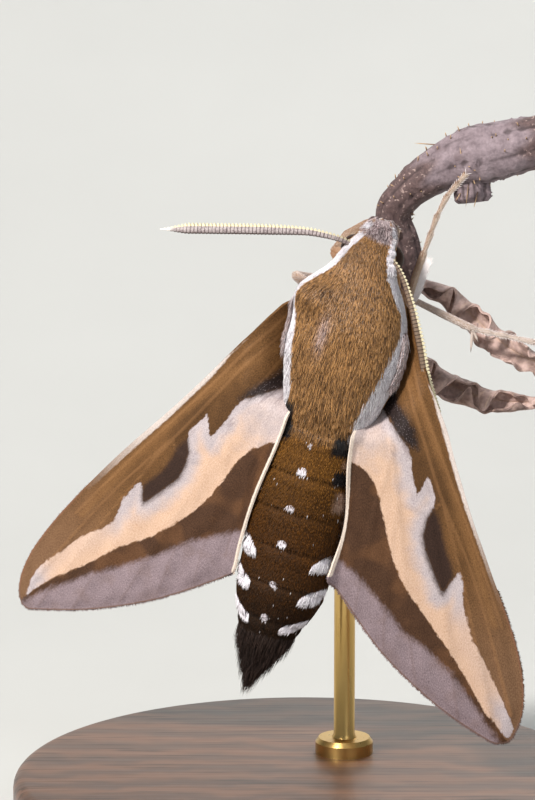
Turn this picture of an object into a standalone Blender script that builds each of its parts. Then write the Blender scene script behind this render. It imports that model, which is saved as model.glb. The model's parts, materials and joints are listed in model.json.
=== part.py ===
# Bedstraw hawk-moth at rest on a cut length of withered thistle stem, on a display stand.
#
# Sizes are in millimetres in the script and in metres in the meshes.
# The moth is modelled in its own frame: +X is its right side, +Y is towards the head
# and +Z is towards its back, with the origin in the middle of the thorax.
# One empty then hangs it head up over the stand, whose base has its underside at Z = 0.

import math
import random

import bmesh
import bpy
from mathutils import Matrix, Vector, noise
from mathutils.geometry import delaunay_2d_cdt

MM = 0.001
GAP = 0.3

# The pose of the moth over the base.
MOTH_ORIGIN = Vector((3.0, -2.5, 37.5))
TURN_ABOUT_BODY = math.radians(-15.6)
LEAN_TO_THE_RIGHT = math.radians(-14.35)

# The body: head, thorax and abdomen lie one behind the other along Y.
HEAD_FRONT = 9.05
HEAD_BACK = 5.9
THORAX_FRONT = HEAD_BACK - GAP
THORAX_BACK = -6.7
ABDOMEN_FRONT = THORAX_BACK - GAP
ABDOMEN_TIP = -27.1
THORAX_HALF_WIDTH = 4.65
THORAX_TOP = 3.9
THORAX_BOTTOM = 4.2
ABDOMEN_HALF_WIDTH = 3.45
ABDOMEN_HALF_HEIGHT = 3.1
FIRST_RING_BACK = -10.2
RING_PITCH = 2.78
RINGS_BEHIND_FIRST = 5
RING_STEP = 0.16
TAIL_SWING = 0.75
BODY_SIDES = 24
TAIL_LOCKS = 7
TUFT_WIDTH = 0.8
TUFT_DEGREES = (22.0, 38.0, 54.0)
TAIL_LOCK_WIDTH = 1.0
LOCK_THICKNESS = 0.5

EYE_RADIUS = 1.1
EYE_CENTRE = Vector((1.5, 6.45, -0.45))

# The wings.
WING_THICKNESS = 0.5
VEIN_HEIGHT = 0.13
VEIN_HALF_WIDTH = 0.38
CAMBER = 0.6
HINDWING_DROP = 1.02

ANTENNA_TEETH = 26
ANTENNA_RADIUS = 0.3
ANTENNA_SIDES = 7
TOOTH_DEPTH = 0.16
LEG_SIDES = 6

# The stand.
BASE_RADIUS = 22.0
BASE_HEIGHT = 4.0
BASE_BEVEL = 1.0
ROD_RADIUS = 0.8
COLLAR_RADIUS = 2.2
COLLAR_HEIGHT = 0.9
CUP_RADIUS = 2.5

SEED = 7


def vec(*values):
    return Vector(values)


def mirrored(point, side):
    """The same place on the right side (side 1) or on the left one (side -1)."""
    return Vector((point[0] * side, point[1], point[2]))


def smoothstep(low, high, value):
    t = min(1.0, max(0.0, (value - low) / (high - low)))
    return t * t * (3.0 - 2.0 * t)


# Scene and object helpers


def clear_scene():
    for obj in list(bpy.data.objects):
        bpy.data.objects.remove(obj)


def material(name, colour, roughness, metallic=0.0):
    mat = bpy.data.materials.new(name)
    mat.use_nodes = True
    shader = mat.node_tree.nodes["Principled BSDF"]
    shader.inputs["Base Color"].default_value = (*colour, 1.0)
    shader.inputs["Roughness"].default_value = roughness
    shader.inputs["Metallic"].default_value = metallic
    mat.diffuse_color = (*colour, 1.0)
    return mat


def add_object(name, points, faces):
    """A mesh object from points in millimetres, with its faces turned outwards."""
    mesh = bpy.data.meshes.new(name)
    mesh.from_pydata([Vector(point) * MM for point in points], [], faces)
    bm = bmesh.new()
    bm.from_mesh(mesh)
    bmesh.ops.recalc_face_normals(bm, faces=bm.faces)
    bm.to_mesh(mesh)
    bm.free()
    obj = bpy.data.objects.new(name, mesh)
    bpy.context.scene.collection.objects.link(obj)
    return obj


def finish(obj, mat, parent=None, sharp_degrees=40.0):
    obj.data.materials.clear()
    obj.data.materials.append(mat)
    obj.data.shade_smooth()
    obj.data.set_sharp_from_angle(angle=math.radians(sharp_degrees))
    if parent is not None:
        obj.parent = parent
    return obj


def apply_modifiers(obj):
    graph = bpy.context.evaluated_depsgraph_get()
    mesh = bpy.data.meshes.new_from_object(obj.evaluated_get(graph))
    obj.modifiers.clear()
    obj.data = mesh


def keep_largest_surface(obj):
    """Drop every closed surface of the mesh but the one of the largest volume."""
    bm = bmesh.new()
    bm.from_mesh(obj.data)
    seen = set()
    islands = []
    for start in bm.faces:
        if start in seen:
            continue
        seen.add(start)
        island = [start]
        for face in island:
            for edge in face.edges:
                for other in edge.link_faces:
                    if other not in seen:
                        seen.add(other)
                        island.append(other)
        islands.append(island)

    def volume(island):
        total = 0.0
        for face in island:
            first = face.verts[0].co
            for a, b in zip(face.verts[1:], face.verts[2:]):
                total += first.dot(a.co.cross(b.co))
        return abs(total)

    islands.sort(key=volume, reverse=True)
    for island in islands[1:]:
        corners = {vert for face in island for vert in face.verts}
        bmesh.ops.delete(bm, geom=list(corners), context="VERTS")
    bm.to_mesh(obj.data)
    bm.free()


def combine(target, operation, others, solver="EXACT"):
    """One Boolean of the target with a collection of closed pieces, applied."""
    group = bpy.data.collections.new("pieces")
    for obj in others:
        group.objects.link(obj)
    boolean = target.modifiers.new(operation.lower(), "BOOLEAN")
    boolean.operation = operation
    boolean.solver = solver
    boolean.operand_type = "COLLECTION"
    boolean.collection = group
    apply_modifiers(target)
    for obj in others:
        bpy.data.objects.remove(obj)
    bpy.data.collections.remove(group)
    keep_largest_surface(target)
    return target


def fuse(target, pieces, solver="EXACT"):
    return combine(target, "UNION", pieces, solver)


def carve(target, cutters, solver="EXACT"):
    return combine(target, "DIFFERENCE", cutters, solver)


# Shape helpers


def spline(points, steps, closed=False):
    """A Catmull-Rom curve through the points, with this many steps for each stretch."""
    points = [Vector(point) for point in points]
    count = len(points)
    stretches = count if closed else count - 1
    curve = []
    for i in range(stretches):
        if closed:
            p0, p1, p2, p3 = (points[(i + k) % count] for k in (-1, 0, 1, 2))
        else:
            p1, p2 = points[i], points[i + 1]
            p0 = points[i - 1] if i > 0 else 2.0 * p1 - p2
            p3 = points[i + 2] if i + 2 < count else 2.0 * p2 - p1
        for step in range(steps):
            t = step / steps
            curve.append(0.5 * (2.0 * p1 + (p2 - p0) * t
                                + (2.0 * p0 - 5.0 * p1 + 4.0 * p2 - p3) * t * t
                                + (3.0 * p1 - p0 - 3.0 * p2 + p3) * t * t * t))
    if not closed:
        curve.append(points[-1])
    return curve


def loft(name, rings):
    """A closed solid over a row of rings with the same number of points each."""
    sides = len(rings[0])
    points = [point for ring in rings for point in ring]
    faces = [tuple(range(sides)), tuple(range(len(points) - sides, len(points)))]
    for r in range(len(rings) - 1):
        for i in range(sides):
            j = (i + 1) % sides
            faces.append((r * sides + i, r * sides + j, (r + 1) * sides + j, (r + 1) * sides + i))
    return add_object(name, points, faces)


def frames_along(path, up):
    """For each point of the path: a side vector and an up vector across the path."""
    frames = []
    for i, _ in enumerate(path):
        ahead = path[min(i + 1, len(path) - 1)] - path[max(i - 1, 0)]
        ahead.normalize()
        side = ahead.cross(up).normalized()
        frames.append((side, side.cross(ahead).normalized()))
    return frames


def tube(name, path, radii, sides, up=Vector((0.0, 0.0, 1.0)), flatness=1.0):
    """A tube along a path; the radius may differ at each point."""
    rings = []
    for point, radius, (side, rise) in zip(path, radii, frames_along(path, up)):
        ring = []
        for i in range(sides):
            angle = 2.0 * math.pi * i / sides
            ring.append(point + side * (radius * math.cos(angle))
                        + rise * (radius * flatness * math.sin(angle)))
        rings.append(ring)
    return loft(name, rings)


def turned(name, profile, centre, sides):
    """A solid of revolution about the vertical; the profile is a row of (radius, height)."""
    rings = []
    for radius, height in profile:
        rings.append([centre + vec(radius * math.cos(2.0 * math.pi * i / sides),
                                   radius * math.sin(2.0 * math.pi * i / sides), height)
                      for i in range(sides)])
    return loft(name, rings)


def ball(name, centre, radius, sides=16, belts=9):
    rings = []
    for belt in range(1, belts):
        angle = math.pi * belt / belts
        rings.append([centre + radius * vec(math.cos(angle),
                                            math.sin(angle) * math.cos(2.0 * math.pi * i / sides),
                                            math.sin(angle) * math.sin(2.0 * math.pi * i / sides))
                      for i in range(sides)])
    return loft(name, rings)


def box(name, centre, size):
    centre = Vector(centre)
    half = Vector(size) / 2.0
    corners = [centre + vec(x * half.x, y * half.y, z * half.z)
               for x in (-1, 1) for y in (-1, 1) for z in (-1, 1)]
    faces = [(0, 1, 3, 2), (4, 6, 7, 5), (0, 4, 5, 1), (2, 3, 7, 6), (0, 2, 6, 4), (1, 5, 7, 3)]
    return add_object(name, corners, faces)


def lock(name, root, tip, lift, width, grow=0.0):
    """A flat tapered lock of scales that bows away from the body on its way to the tip."""
    run = tip - root
    across = run.cross(lift).normalized()
    outward = across.cross(run).normalized()
    bow = run.length * 0.12
    tip = tip + run.normalized() * grow
    run = tip - root
    rings = []
    for t, breadth in ((0.0, 0.75), (0.35, 1.0), (0.7, 0.75), (1.0, 0.16)):
        middle = root + run * t + outward * (bow * math.sin(math.pi * t))
        half = width * breadth / 2.0 + grow
        rise = LOCK_THICKNESS * (0.35 + 0.65 * breadth) / 2.0 + grow
        rings.append([middle - across * half, middle + outward * rise,
                      middle + across * half, middle - outward * rise])
    return loft(name, rings)


def prickle(name, root, direction, length, radius):
    """A four-sided spine, drawn out to a point."""
    direction = direction.normalized()
    side = direction.orthogonal().normalized()
    other = direction.cross(side)
    rings = []
    for reach, size in ((-0.35, 1.0), (0.45, 0.6), (1.0, 0.12)):
        middle = root + direction * (length * reach)
        rings.append([middle + side * (radius * size), middle + other * (radius * size),
                      middle - side * (radius * size), middle - other * (radius * size)])
    return loft(name, rings)


# The body


def centre_line(y):
    """The hind end of the body swings a little to the left."""
    behind = max(0.0, -14.0 - y)
    return -TAIL_SWING * (behind / (-14.0 - ABDOMEN_TIP)) ** 2


def body_rings(stations, grow=0.0):
    """Oval rings along Y from (y, half width, height above, height below)."""
    rings = []
    last = len(stations) - 1
    for index, (y, half, top, bottom) in enumerate(stations):
        if index == 0:
            y += grow
        if index == last:
            y -= grow
        ring = []
        for i in range(BODY_SIDES):
            angle = 2.0 * math.pi * i / BODY_SIDES
            rise = math.sin(angle)
            height = (top if rise > 0.0 else bottom) + grow
            ring.append(vec(centre_line(y) + (half + grow) * math.cos(angle), y, height * rise))
        rings.append(ring)
    return rings


def head_stations():
    return [
        (HEAD_FRONT, 0.6, 0.5, 0.8),
        (8.8, 0.98, 0.95, 1.15),
        (8.3, 1.3, 1.45, 1.6),
        (7.5, 1.65, 1.9, 2.0),
        (6.7, 2.0, 2.2, 2.2),
        (HEAD_BACK, 2.35, 2.45, 2.3),
    ]


def thorax_stations():
    return [
        (THORAX_FRONT, 2.5, 2.55, 2.4),
        (4.9, 2.85, 2.85, 2.9),
        (3.9, 3.35, 3.2, 3.4),
        (2.5, 4.05, 3.55, 3.9),
        (1.0, 4.5, 3.85, THORAX_BOTTOM),
        (-0.5, THORAX_HALF_WIDTH, THORAX_TOP, THORAX_BOTTOM),
        (-2.0, 4.5, 3.85, 4.05),
        (-3.5, 4.15, 3.7, 3.75),
        (-5.0, 3.75, 3.5, 3.45),
        (-6.1, 3.45, 3.25, 3.2),
        (THORAX_BACK, 3.15, 2.95, 3.0),
    ]


def abdomen_size(y):
    """Half width and half height of the abdomen at this place along the body."""
    along = (ABDOMEN_FRONT - y) / (ABDOMEN_FRONT - ABDOMEN_TIP)
    swell = 0.93 + 0.09 * math.sin(math.pi * min(1.0, along / 0.75))
    taper = max(0.0, 1.0 - max(0.0, (along - 0.62) / 0.38) ** 1.3)
    return (ABDOMEN_HALF_WIDTH * swell * (0.06 + 0.94 * taper),
            ABDOMEN_HALF_HEIGHT * swell * (0.06 + 0.94 * taper))


def ring_edges():
    """The places along Y where one ring of the abdomen ends and the next begins."""
    return [ABDOMEN_FRONT] + [FIRST_RING_BACK - RING_PITCH * i
                              for i in range(RINGS_BEHIND_FIRST + 1)]


def abdomen_stations():
    """Each ring of the abdomen swells to its hind edge and steps down behind it."""
    edges = ring_edges()
    stations = []
    for front, back in zip(edges, edges[1:]):
        for share, swell in ((0.0, -RING_STEP), (0.3, 0.0), (0.93, 0.06)):
            y = front + (back - front) * share
            half, height = abdomen_size(y)
            stations.append((y, half + swell, height + swell, height + swell))
    for share in (0.0, 0.35, 0.7, 1.0):
        y = edges[-1] + (ABDOMEN_TIP - edges[-1]) * share
        half, height = abdomen_size(y)
        stations.append((y, half, height, height))
    return stations


def on_abdomen(y, degrees, depth=0.0):
    """A place on the abdomen's skin, by its height angle on the right (0) over the top (90)."""
    half, height = abdomen_size(y)
    angle = math.radians(degrees)
    outward = vec(math.cos(angle) / half, 0.0, math.sin(angle) / height).normalized()
    place = vec(centre_line(y) + half * math.cos(angle), y, height * math.sin(angle))
    return place - outward * depth, outward


def grown(name, stations):
    """A body part with a skin of GAP all round, for cutting its neighbours clear."""
    return loft(name, body_rings(stations, GAP))


def make_head(mat, parent):
    head = loft("head", body_rings(head_stations()))
    sockets = [ball("socket", mirrored(EYE_CENTRE, side), EYE_RADIUS + GAP) for side in (-1, 1)]
    carve(head, sockets)
    finish(head, mat, parent)


def make_eyes(mat, parent):
    for side, word in ((-1, "left"), (1, "right")):
        eye = ball("eye_" + word, mirrored(EYE_CENTRE, side), EYE_RADIUS)
        carve(eye, [grown("clear", thorax_stations())])
        finish(eye, mat, parent)


def make_palps(mat, parent):
    """The two upturned palps that close the front of the head from below."""
    for side, word in ((-1, "left"), (1, "right")):
        route = [(0.72, 6.4, -2.2), (0.76, 7.4, -2.3), (0.72, 8.2, -1.9), (0.62, 8.6, -1.1),
                 (0.55, 8.75, -0.3)]
        path = spline([mirrored(point, side) for point in route], 2)
        radii = [0.58 * math.sin(math.pi * (0.22 + 0.7 * i / (len(path) - 1))) ** 0.6
                 for i in range(len(path))]
        palp = tube("palp_" + word, path, radii, 8, vec(side, 0.0, 0.2))
        carve(palp, [grown("clear", head_stations()),
                     box("middle", (-side * 3.0 + side * GAP / 2.0, 8.0, -1.0), (6.0, 8.0, 8.0))])
        finish(palp, mat, parent)


def make_thorax(mat, parent):
    finish(loft("thorax", body_rings(thorax_stations())), mat, parent)


def side_tufts(grow=0.0):
    """The locks that stand out from the flanks at the hind edges of three rings."""
    for edge in ring_edges()[3:6]:
        for side in (-1, 1):
            for degrees in TUFT_DEGREES:
                above, below = degrees + 9.0, degrees - 7.0
                if side < 0:
                    above, below = 180.0 - above, 180.0 - below
                root, outward = on_abdomen(edge + 0.5, above, 0.4)
                tip, _ = on_abdomen(edge - 1.0, below)
                yield lock("tuft", root, tip + outward * 0.3, outward, TUFT_WIDTH, grow)


def make_abdomen(mat, parent):
    """The abdomen with its white side tufts and the brush of scales at its end."""
    abdomen = loft("abdomen", body_rings(abdomen_stations()))
    pieces = list(side_tufts())
    for i in range(TAIL_LOCKS):
        degrees = 360.0 * i / TAIL_LOCKS + 10.0
        root, outward = on_abdomen(-24.4, degrees, 0.35)
        tip_reach = -26.4 + random.uniform(-0.5, 0.2)
        on_tip, _ = on_abdomen(tip_reach, degrees)
        pieces.append(lock("tail", root, on_tip + outward * 0.28, outward, TAIL_LOCK_WIDTH))
    fuse(abdomen, pieces)
    finish(abdomen, mat, parent, 25.0)


# The wings


FOREWING_HIND_EDGE = [
    (16.4, -9.6), (13.5, -8.25), (9.2, -6.8), (4.5, -4.9), (1.0, -3.4), (-2.6, -2.4),
]
FOREWING_OUTLINES = {
    "left": [
        (-2.6, 0.2), (0.0, 0.3), (4.5, 0.55), (11.0, 1.05), (18.0, 1.9), (24.5, 2.27), (28.5, 2.1),
        (30.5, 1.65), (31.8, 1.0), (32.6, 0.1), (32.6, -0.7), (31.9, -1.45), (28.3, -4.6),
        (23.7, -7.7), (19.0, -9.85), (17.3, -10.2), *FOREWING_HIND_EDGE,
    ],
    "right": [
        (-2.6, 0.2), (0.0, 0.3), (6.0, 0.85), (8.5, 1.1), (11.0, 1.1), (15.5, 1.25), (18.0, 1.45),
        (20.0, 1.6), (24.0, 1.95), (27.0, 1.95), (29.3, 1.62), (31.0, 1.0), (32.35, 0.0),
        (32.55, -0.85), (31.9, -1.95), (28.3, -4.95), (23.7, -7.7), (19.0, -9.45), (17.3, -10.05),
        *FOREWING_HIND_EDGE,
    ],
}
HINDWING_OUTLINE = [
    (-1.6, -1.0), (3.0, -0.9), (9.0, -1.0), (15.0, -1.7), (19.0, -3.2), (19.4, -4.4), (17.5, -6.3),
    (14.0, -7.6), (10.5, -7.0), (6.0, -5.3), (1.0, -3.2), (-1.6, -2.6),
]
FOREWING_VEINS = [
    [(-1.5, -0.3), (4.0, -0.2), (9.0, 0.1), (17.0, 0.9), (24.0, 1.35)],
    [(-1.5, -0.9), (4.0, -0.9), (9.0, -0.7), (13.5, -0.5), (21.0, 0.3), (30.6, 0.35)],
    [(13.5, -0.5), (22.0, -0.7), (31.6, -1.3)],
    [(14.0, -1.7), (22.0, -2.5), (29.8, -3.5)],
    [(-1.5, -1.6), (4.0, -2.3), (9.0, -3.2), (12.5, -3.7), (19.0, -4.8), (26.8, -5.9)],
    [(12.5, -3.7), (18.0, -5.8), (23.6, -7.6)],
    [(9.0, -3.2), (14.0, -6.0), (20.2, -8.9)],
    [(13.5, -0.5), (14.0, -1.7), (12.5, -3.7)],
    [(-1.5, -2.2), (4.0, -3.9), (10.0, -6.2), (16.9, -9.4)],
]
HINDWING_VEINS = [
    [(-1.0, -1.5), (8.0, -1.7), (17.9, -3.3)],
    [(-1.0, -1.9), (7.0, -3.2), (17.2, -5.6)],
    [(7.0, -3.2), (13.8, -6.9)],
    [(-1.0, -2.4), (5.0, -4.2), (10.2, -6.4)],
]


def distance_to_line(point, line):
    best = 1e9
    for a, b in zip(line, line[1:]):
        run = b - a
        t = min(1.0, max(0.0, (point - a).dot(run) / run.length_squared))
        best = min(best, (point - a - run * t).length)
    return best


def wing_sheet(outline, veins, edge_steps, vein_steps):
    """Triangles over a wing: its outline, and each vein as a crest between two foot lines."""
    lines = [spline([(*point, 0.0) for point in vein], vein_steps) for vein in veins]
    lines = [[point.to_2d() for point in line] for line in lines]
    edge = [point.to_2d() for point in spline([(*p, 0.0) for p in outline], edge_steps, True)]
    coords = list(edge)
    count = len(edge)
    edges = []
    for line in lines:
        feet = []
        for i, point in enumerate(line):
            ahead = (line[min(i + 1, len(line) - 1)] - line[max(i - 1, 0)]).normalized()
            feet.append(Vector((-ahead.y, ahead.x)) * VEIN_HALF_WIDTH)
        for shift in (-1.0, 0.0, 1.0):
            first = len(coords)
            coords += [point + foot * shift for point, foot in zip(line, feet)]
            edges += [(first + i, first + i + 1) for i in range(len(line) - 1)]
    points, _, faces, _, _, _ = delaunay_2d_cdt(coords, edges, [list(range(count))], 1, 1e-4)
    heights = []
    for point in points:
        near = min(distance_to_line(point, line) for line in lines)
        heights.append(VEIN_HEIGHT * max(0.0, 1.0 - near / VEIN_HALF_WIDTH))
    return points, faces, heights


def wing_frame(root, apex, tornus):
    """Axes of a wing's plane: along it to the apex, across it to the front edge, and up."""
    along = (apex - root).normalized()
    back = tornus - root
    forward = -(back - along * back.dot(along)).normalized()
    up = along.cross(forward)
    if up.z < 0.0:
        up = -up
    return along, forward, up


def camber(across):
    return CAMBER * (1.0 - ((across + 3.0) / 7.0) ** 2)


def wing(name, frame, sheet, drop=0.0):
    """A closed thin wing with the same triangles above and below and ridged veins on both."""
    root, (along, forward, up) = frame
    flat, triangles, heights = sheet
    middle = [root + along * p.x + forward * p.y + up * (camber(p.y) - drop) for p in flat]
    half = [up * (WING_THICKNESS / 2.0 + height) for height in heights]
    points = [m + h for m, h in zip(middle, half)] + [m - h for m, h in zip(middle, half)]
    count = len(middle)
    faces = [tuple(face) for face in triangles]
    faces += [tuple(index + count for index in reversed(face)) for face in triangles]
    borders = {}
    for face in triangles:
        for a, b in zip(face, list(face[1:]) + [face[0]]):
            key = (min(a, b), max(a, b))
            borders.setdefault(key, []).append((a, b))
    for uses in borders.values():
        if len(uses) == 1:
            a, b = uses[0]
            faces += [(a, a + count, b + count), (a, b + count, b)]
    return add_object(name, points, faces)


WING_FRAMES = {
    "left": (vec(-4.93, 0.97, 1.44), vec(-20.1, -27.33, -4.26), vec(-3.77, -19.11, -0.06)),
    "right": (vec(3.92, 2.53, 1.28), vec(19.08, -26.15, -3.93), vec(3.54, -16.97, 0.45)),
}


def make_wings(fore_mat, hind_mat, parent):
    hind = wing_sheet(HINDWING_OUTLINE, HINDWING_VEINS, 2, 2)
    for word, (root, apex, tornus) in WING_FRAMES.items():
        fore = wing_sheet(FOREWING_OUTLINES[word], FOREWING_VEINS, 2, 2)
        frame = (root, wing_frame(root, apex, tornus))
        for name, sheet, drop, mat in (("forewing_", fore, 0.0, fore_mat),
                                       ("hindwing_", hind, HINDWING_DROP, hind_mat)):
            obj = wing(name + word, frame, sheet, drop)
            carve(obj, [grown("clear", thorax_stations()), grown("clear", abdomen_stations()),
                        antenna_tube("clear", ANTENNA_ROUTES[word], GAP), *side_tufts(GAP)])
            finish(obj, mat, parent, 60.0)


# The feelers


ANTENNA_ROUTES = {
    "left": [(-1.1, 6.75, 0.9), (-2.1, 7.0, 1.2), (-3.6, 7.0, 1.5), (-5.16, 6.78, 1.6),
             (-8.76, 5.87, 1.8), (-12.41, 4.86, 1.8), (-13.9, 4.43, 1.7), (-15.26, 4.05, 1.6)],
    "right": [(1.1, 6.75, 0.9), (1.95, 6.95, 1.15), (2.69, 6.22, 1.3), (3.34, 5.46, 1.35),
              (4.05, 4.22, 1.25), (4.71, 2.78, 1.1), (5.3, 1.3, 0.85), (6.24, -0.71, 0.5),
              (6.93, -2.19, -0.1), (7.8, -4.0, -1.05), (8.3, -5.1, -1.35)],
}


def antenna_tube(name, route, grow=0.0):
    """A clubbed feeler whose fore side is a saw edge of short teeth."""
    curve = spline(route, 12)
    total = ANTENNA_TEETH * 2
    path = []
    radii = []
    for step in range(total + 1):
        t = step / total
        place = t * (len(curve) - 1)
        low = min(int(place), len(curve) - 2)
        path.append(curve[low].lerp(curve[low + 1], place - low))
        club = 0.8 + 0.35 * smoothstep(0.0, 0.55, t)
        point = 1.0 - 0.85 * smoothstep(0.86, 1.0, t)
        radii.append(ANTENNA_RADIUS * club * point + grow)
    if grow > 0.0:
        return tube(name, path[::4], radii[::4], ANTENNA_SIDES)
    teeth = []
    for step, (point, radius, frame) in enumerate(zip(path, radii, frames_along(path, vec(0, 0, 1)))):
        fore = -frame[0] if frame[0].y < 0.0 else frame[0]
        teeth.append(point + fore * (radius * TOOTH_DEPTH * (1.0 if step % 2 else -1.0)))
    swells = [radius * (1.0 + 0.5 * TOOTH_DEPTH * (1.0 if step % 2 else -1.0))
              for step, radius in enumerate(radii)]
    return tube(name, teeth, swells, ANTENNA_SIDES)


def make_antennae(mat, parent):
    for word, route in ANTENNA_ROUTES.items():
        antenna = antenna_tube("antenna_" + word, route)
        carve(antenna, [grown("clear", head_stations()), grown("clear", thorax_stations())])
        finish(antenna, mat, parent)


# The legs: each route runs from inside the body over knee and ankle to the claw.


LEG_ROUTES = {
    "foreleg_left": [(-1.2, 4.6, -2.3), (-3.7, 5.1, -4.1), (-3.4, 6.6, -4.4), (-1.95, 8.1, -4.5),
                     (-0.8, 8.3, -4.5), (0.3, 7.9, -4.5), (1.2, 7.3, -4.8)],
    "foreleg_right": [(1.2, 4.2, -2.3), (3.0, 3.45, -3.3), (2.98, 5.24, -3.3), (3.13, 7.05, -3.4),
                      (3.34, 10.0, -3.5), (3.64, 11.6, -3.7), (4.6, 13.6, -3.8)],
    "midleg_left": [(-1.4, 1.2, -3.4), (-6.2, 2.65, -4.7), (-4.0, 2.7, -6.7), (-1.7, 2.6, -8.0),
                    (-0.95, 3.0, -9.1), (-0.2, 3.4, -9.9), (1.1, 3.7, -10.25)],
    "midleg_right": [(1.4, 1.2, -3.4), (2.9, 3.4, -4.6), (5.4, 2.9, -5.0), (7.87, 2.42, -5.5),
                     (10.1, 2.55, -5.9), (12.4, 2.65, -6.3), (14.6, 2.75, -6.9)],
    "hindleg_left": [(-1.4, -2.2, -3.4), (-4.4, -4.6, -5.4), (-3.4, -7.5, -6.4), (-2.2, -10.2, -7.3),
                     (-1.5, -11.8, -8.0), (-1.2, -13.3, -8.6), (-0.7, -14.6, -9.3)],
    "hindleg_right": [(1.4, -2.2, -3.4), (4.4, -4.6, -5.4), (3.9, -7.5, -6.4), (3.2, -10.2, -7.3),
                      (2.9, -11.8, -8.0), (3.2, -13.3, -8.6), (3.3, -14.6, -9.3)],
}
FEMUR_RADIUS = 0.5
TIBIA_RADIUS = 0.36
TARSUS_RADIUS = 0.27
CLAW_RADIUS = 0.14
SPUR_LENGTH = 1.5
SPUR_RADIUS = 0.2
FRINGE_WIDTH = 0.62


def leg_path(route):
    """Femur, tibia and tarsus with small knots where one joins the next."""
    hip, knee, shin, ankle, toe_a, toe_b, claw = [Vector(point) for point in route]
    path = [hip, hip.lerp(knee, 0.5), hip.lerp(knee, 0.9), knee]
    radii = [FEMUR_RADIUS, FEMUR_RADIUS * 1.1, FEMUR_RADIUS * 0.8, TIBIA_RADIUS]
    path += [knee.lerp(shin, 0.25), shin, shin.lerp(ankle, 0.85), ankle]
    radii += [TIBIA_RADIUS * 0.95, TIBIA_RADIUS, TIBIA_RADIUS * 1.05, TARSUS_RADIUS * 1.2]
    joints = [ankle, ankle.lerp(toe_a, 0.85), toe_b, toe_b.lerp(claw, 0.5), claw]
    for start, end in zip(joints, joints[1:]):
        path += [start.lerp(end, 0.12), start.lerp(end, 0.9)]
        radii += [TARSUS_RADIUS * 0.9, TARSUS_RADIUS * 1.1]
    radii[-1] = CLAW_RADIUS
    return path, radii


def spurs(route):
    """Two spurs that stand out backwards at the end of the tibia."""
    shin, ankle = Vector(route[2]), Vector(route[3])
    run = (ankle - shin).normalized()
    aside = run.cross(vec(0.0, 0.0, 1.0)).normalized()
    if aside.y > 0.0:
        aside = -aside
    for turn in (0.45, 1.25):
        direction = run * turn + aside * 1.1 + vec(0.0, 0.0, 0.12)
        yield prickle("spur", ankle - run * 0.15, direction, SPUR_LENGTH, SPUR_RADIUS)


def fringe(route):
    """The comb of long white scales along the outer side of the right fore tibia."""
    knee, ankle = Vector(route[1]), Vector(route[3])
    for t in (0.12, 0.36, 0.6, 0.84):
        root = knee.lerp(ankle, t)
        tip = root + vec(0.85, 1.15, 0.25)
        yield lock("fringe", root, tip, vec(0.0, 0.0, 1.0), FRINGE_WIDTH)


def make_legs(mat, parent):
    for name, route in LEG_ROUTES.items():
        path, radii = leg_path(route)
        leg = tube(name, path, radii, LEG_SIDES, vec(0.3, 0.2, 1.0))
        if name == "foreleg_right":
            fuse(leg, list(fringe(route)))
        if not name.startswith("foreleg"):
            fuse(leg, list(spurs(route)))
        carve(leg, [grown("clear", thorax_stations()), grown("clear", head_stations())])
        finish(leg, mat, parent)


# The perch: a cut length of withered thistle stem with prickles and two dead leaves.


STEM_ROUTE = [
    (1.62, -15.3, -8.6), (0.95, -12.6, -8.4), (0.3, -10.0, -8.2), (0.4, -5.0, -8.3),
    (0.9, 0.0, -8.3), (1.3, 4.0, -8.1), (1.2, 6.3, -7.6), (0.3, 8.4, -6.8), (0.1, 10.5, -6.3),
    (1.9, 12.8, -6.2), (3.9, 14.2, -6.5), (6.2, 15.4, -6.9), (8.5, 17.0, -7.0), (9.6, 17.8, -7.0),
]
STEM_RADII = [1.45, 1.45, 1.4, 1.35, 1.35, 1.4, 1.4, 1.35, 1.2, 1.4, 1.9, 2.35, 2.1, 1.8]
STEM_SIDES = 12
STEM_STEPS = 3
PRICKLES = 24
SHOOT = ((5.0, 14.4, -7.0), (5.9, 12.9, -7.3), (6.5, 11.5, -7.2))
UPPER_LEAF = [(1.2, 4.2, -8.2), (3.2, 4.1, -7.9), (4.9, 3.8, -8.3), (7.0, 2.8, -8.6),
              (9.3, 1.7, -8.4), (12.0, 1.0, -8.2), (14.8, 1.1, -8.0), (16.4, 1.6, -8.3)]
UPPER_LEAF_WIDTHS = [0.5, 1.2, 1.6, 1.7, 1.5, 1.2, 1.0, 0.35]
LOWER_LEAF = [(0.8, -0.5, -8.4), (3.5, -1.6, -9.0), (6.5, -2.8, -9.6), (9.5, -3.0, -9.9),
              (12.5, -2.4, -10.0), (14.0, -1.5, -9.6)]
LOWER_LEAF_WIDTHS = [0.5, 1.3, 1.9, 1.7, 1.2, 0.35]
LEAF_THICKNESS = 0.5


def sheet(name, grid, thickness):
    """A closed curved sheet over a grid of points, with the same triangles on both faces."""
    rows, columns = len(grid), len(grid[0])
    upper = []
    lower = []
    for r in range(rows):
        for c in range(columns):
            along = grid[min(r + 1, rows - 1)][c] - grid[max(r - 1, 0)][c]
            across = grid[r][min(c + 1, columns - 1)] - grid[r][max(c - 1, 0)]
            normal = along.cross(across).normalized() * (thickness / 2.0)
            upper.append(grid[r][c] + normal)
            lower.append(grid[r][c] - normal)
    count = rows * columns
    faces = []
    for r in range(rows - 1):
        for c in range(columns - 1):
            a = r * columns + c
            for face in ((a, a + 1, a + columns + 1), (a, a + columns + 1, a + columns)):
                faces.append(face)
                faces.append(tuple(index + count for index in reversed(face)))
    rim = list(range(columns)) + [r * columns + columns - 1 for r in range(1, rows)]
    rim += [(rows - 1) * columns + c for c in range(columns - 2, -1, -1)]
    rim += [r * columns for r in range(rows - 2, 0, -1)]
    for a, b in zip(rim, rim[1:] + rim[:1]):
        faces += [(a, a + count, b + count), (a, b + count, b)]
    return add_object(name, upper + lower, faces)


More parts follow.
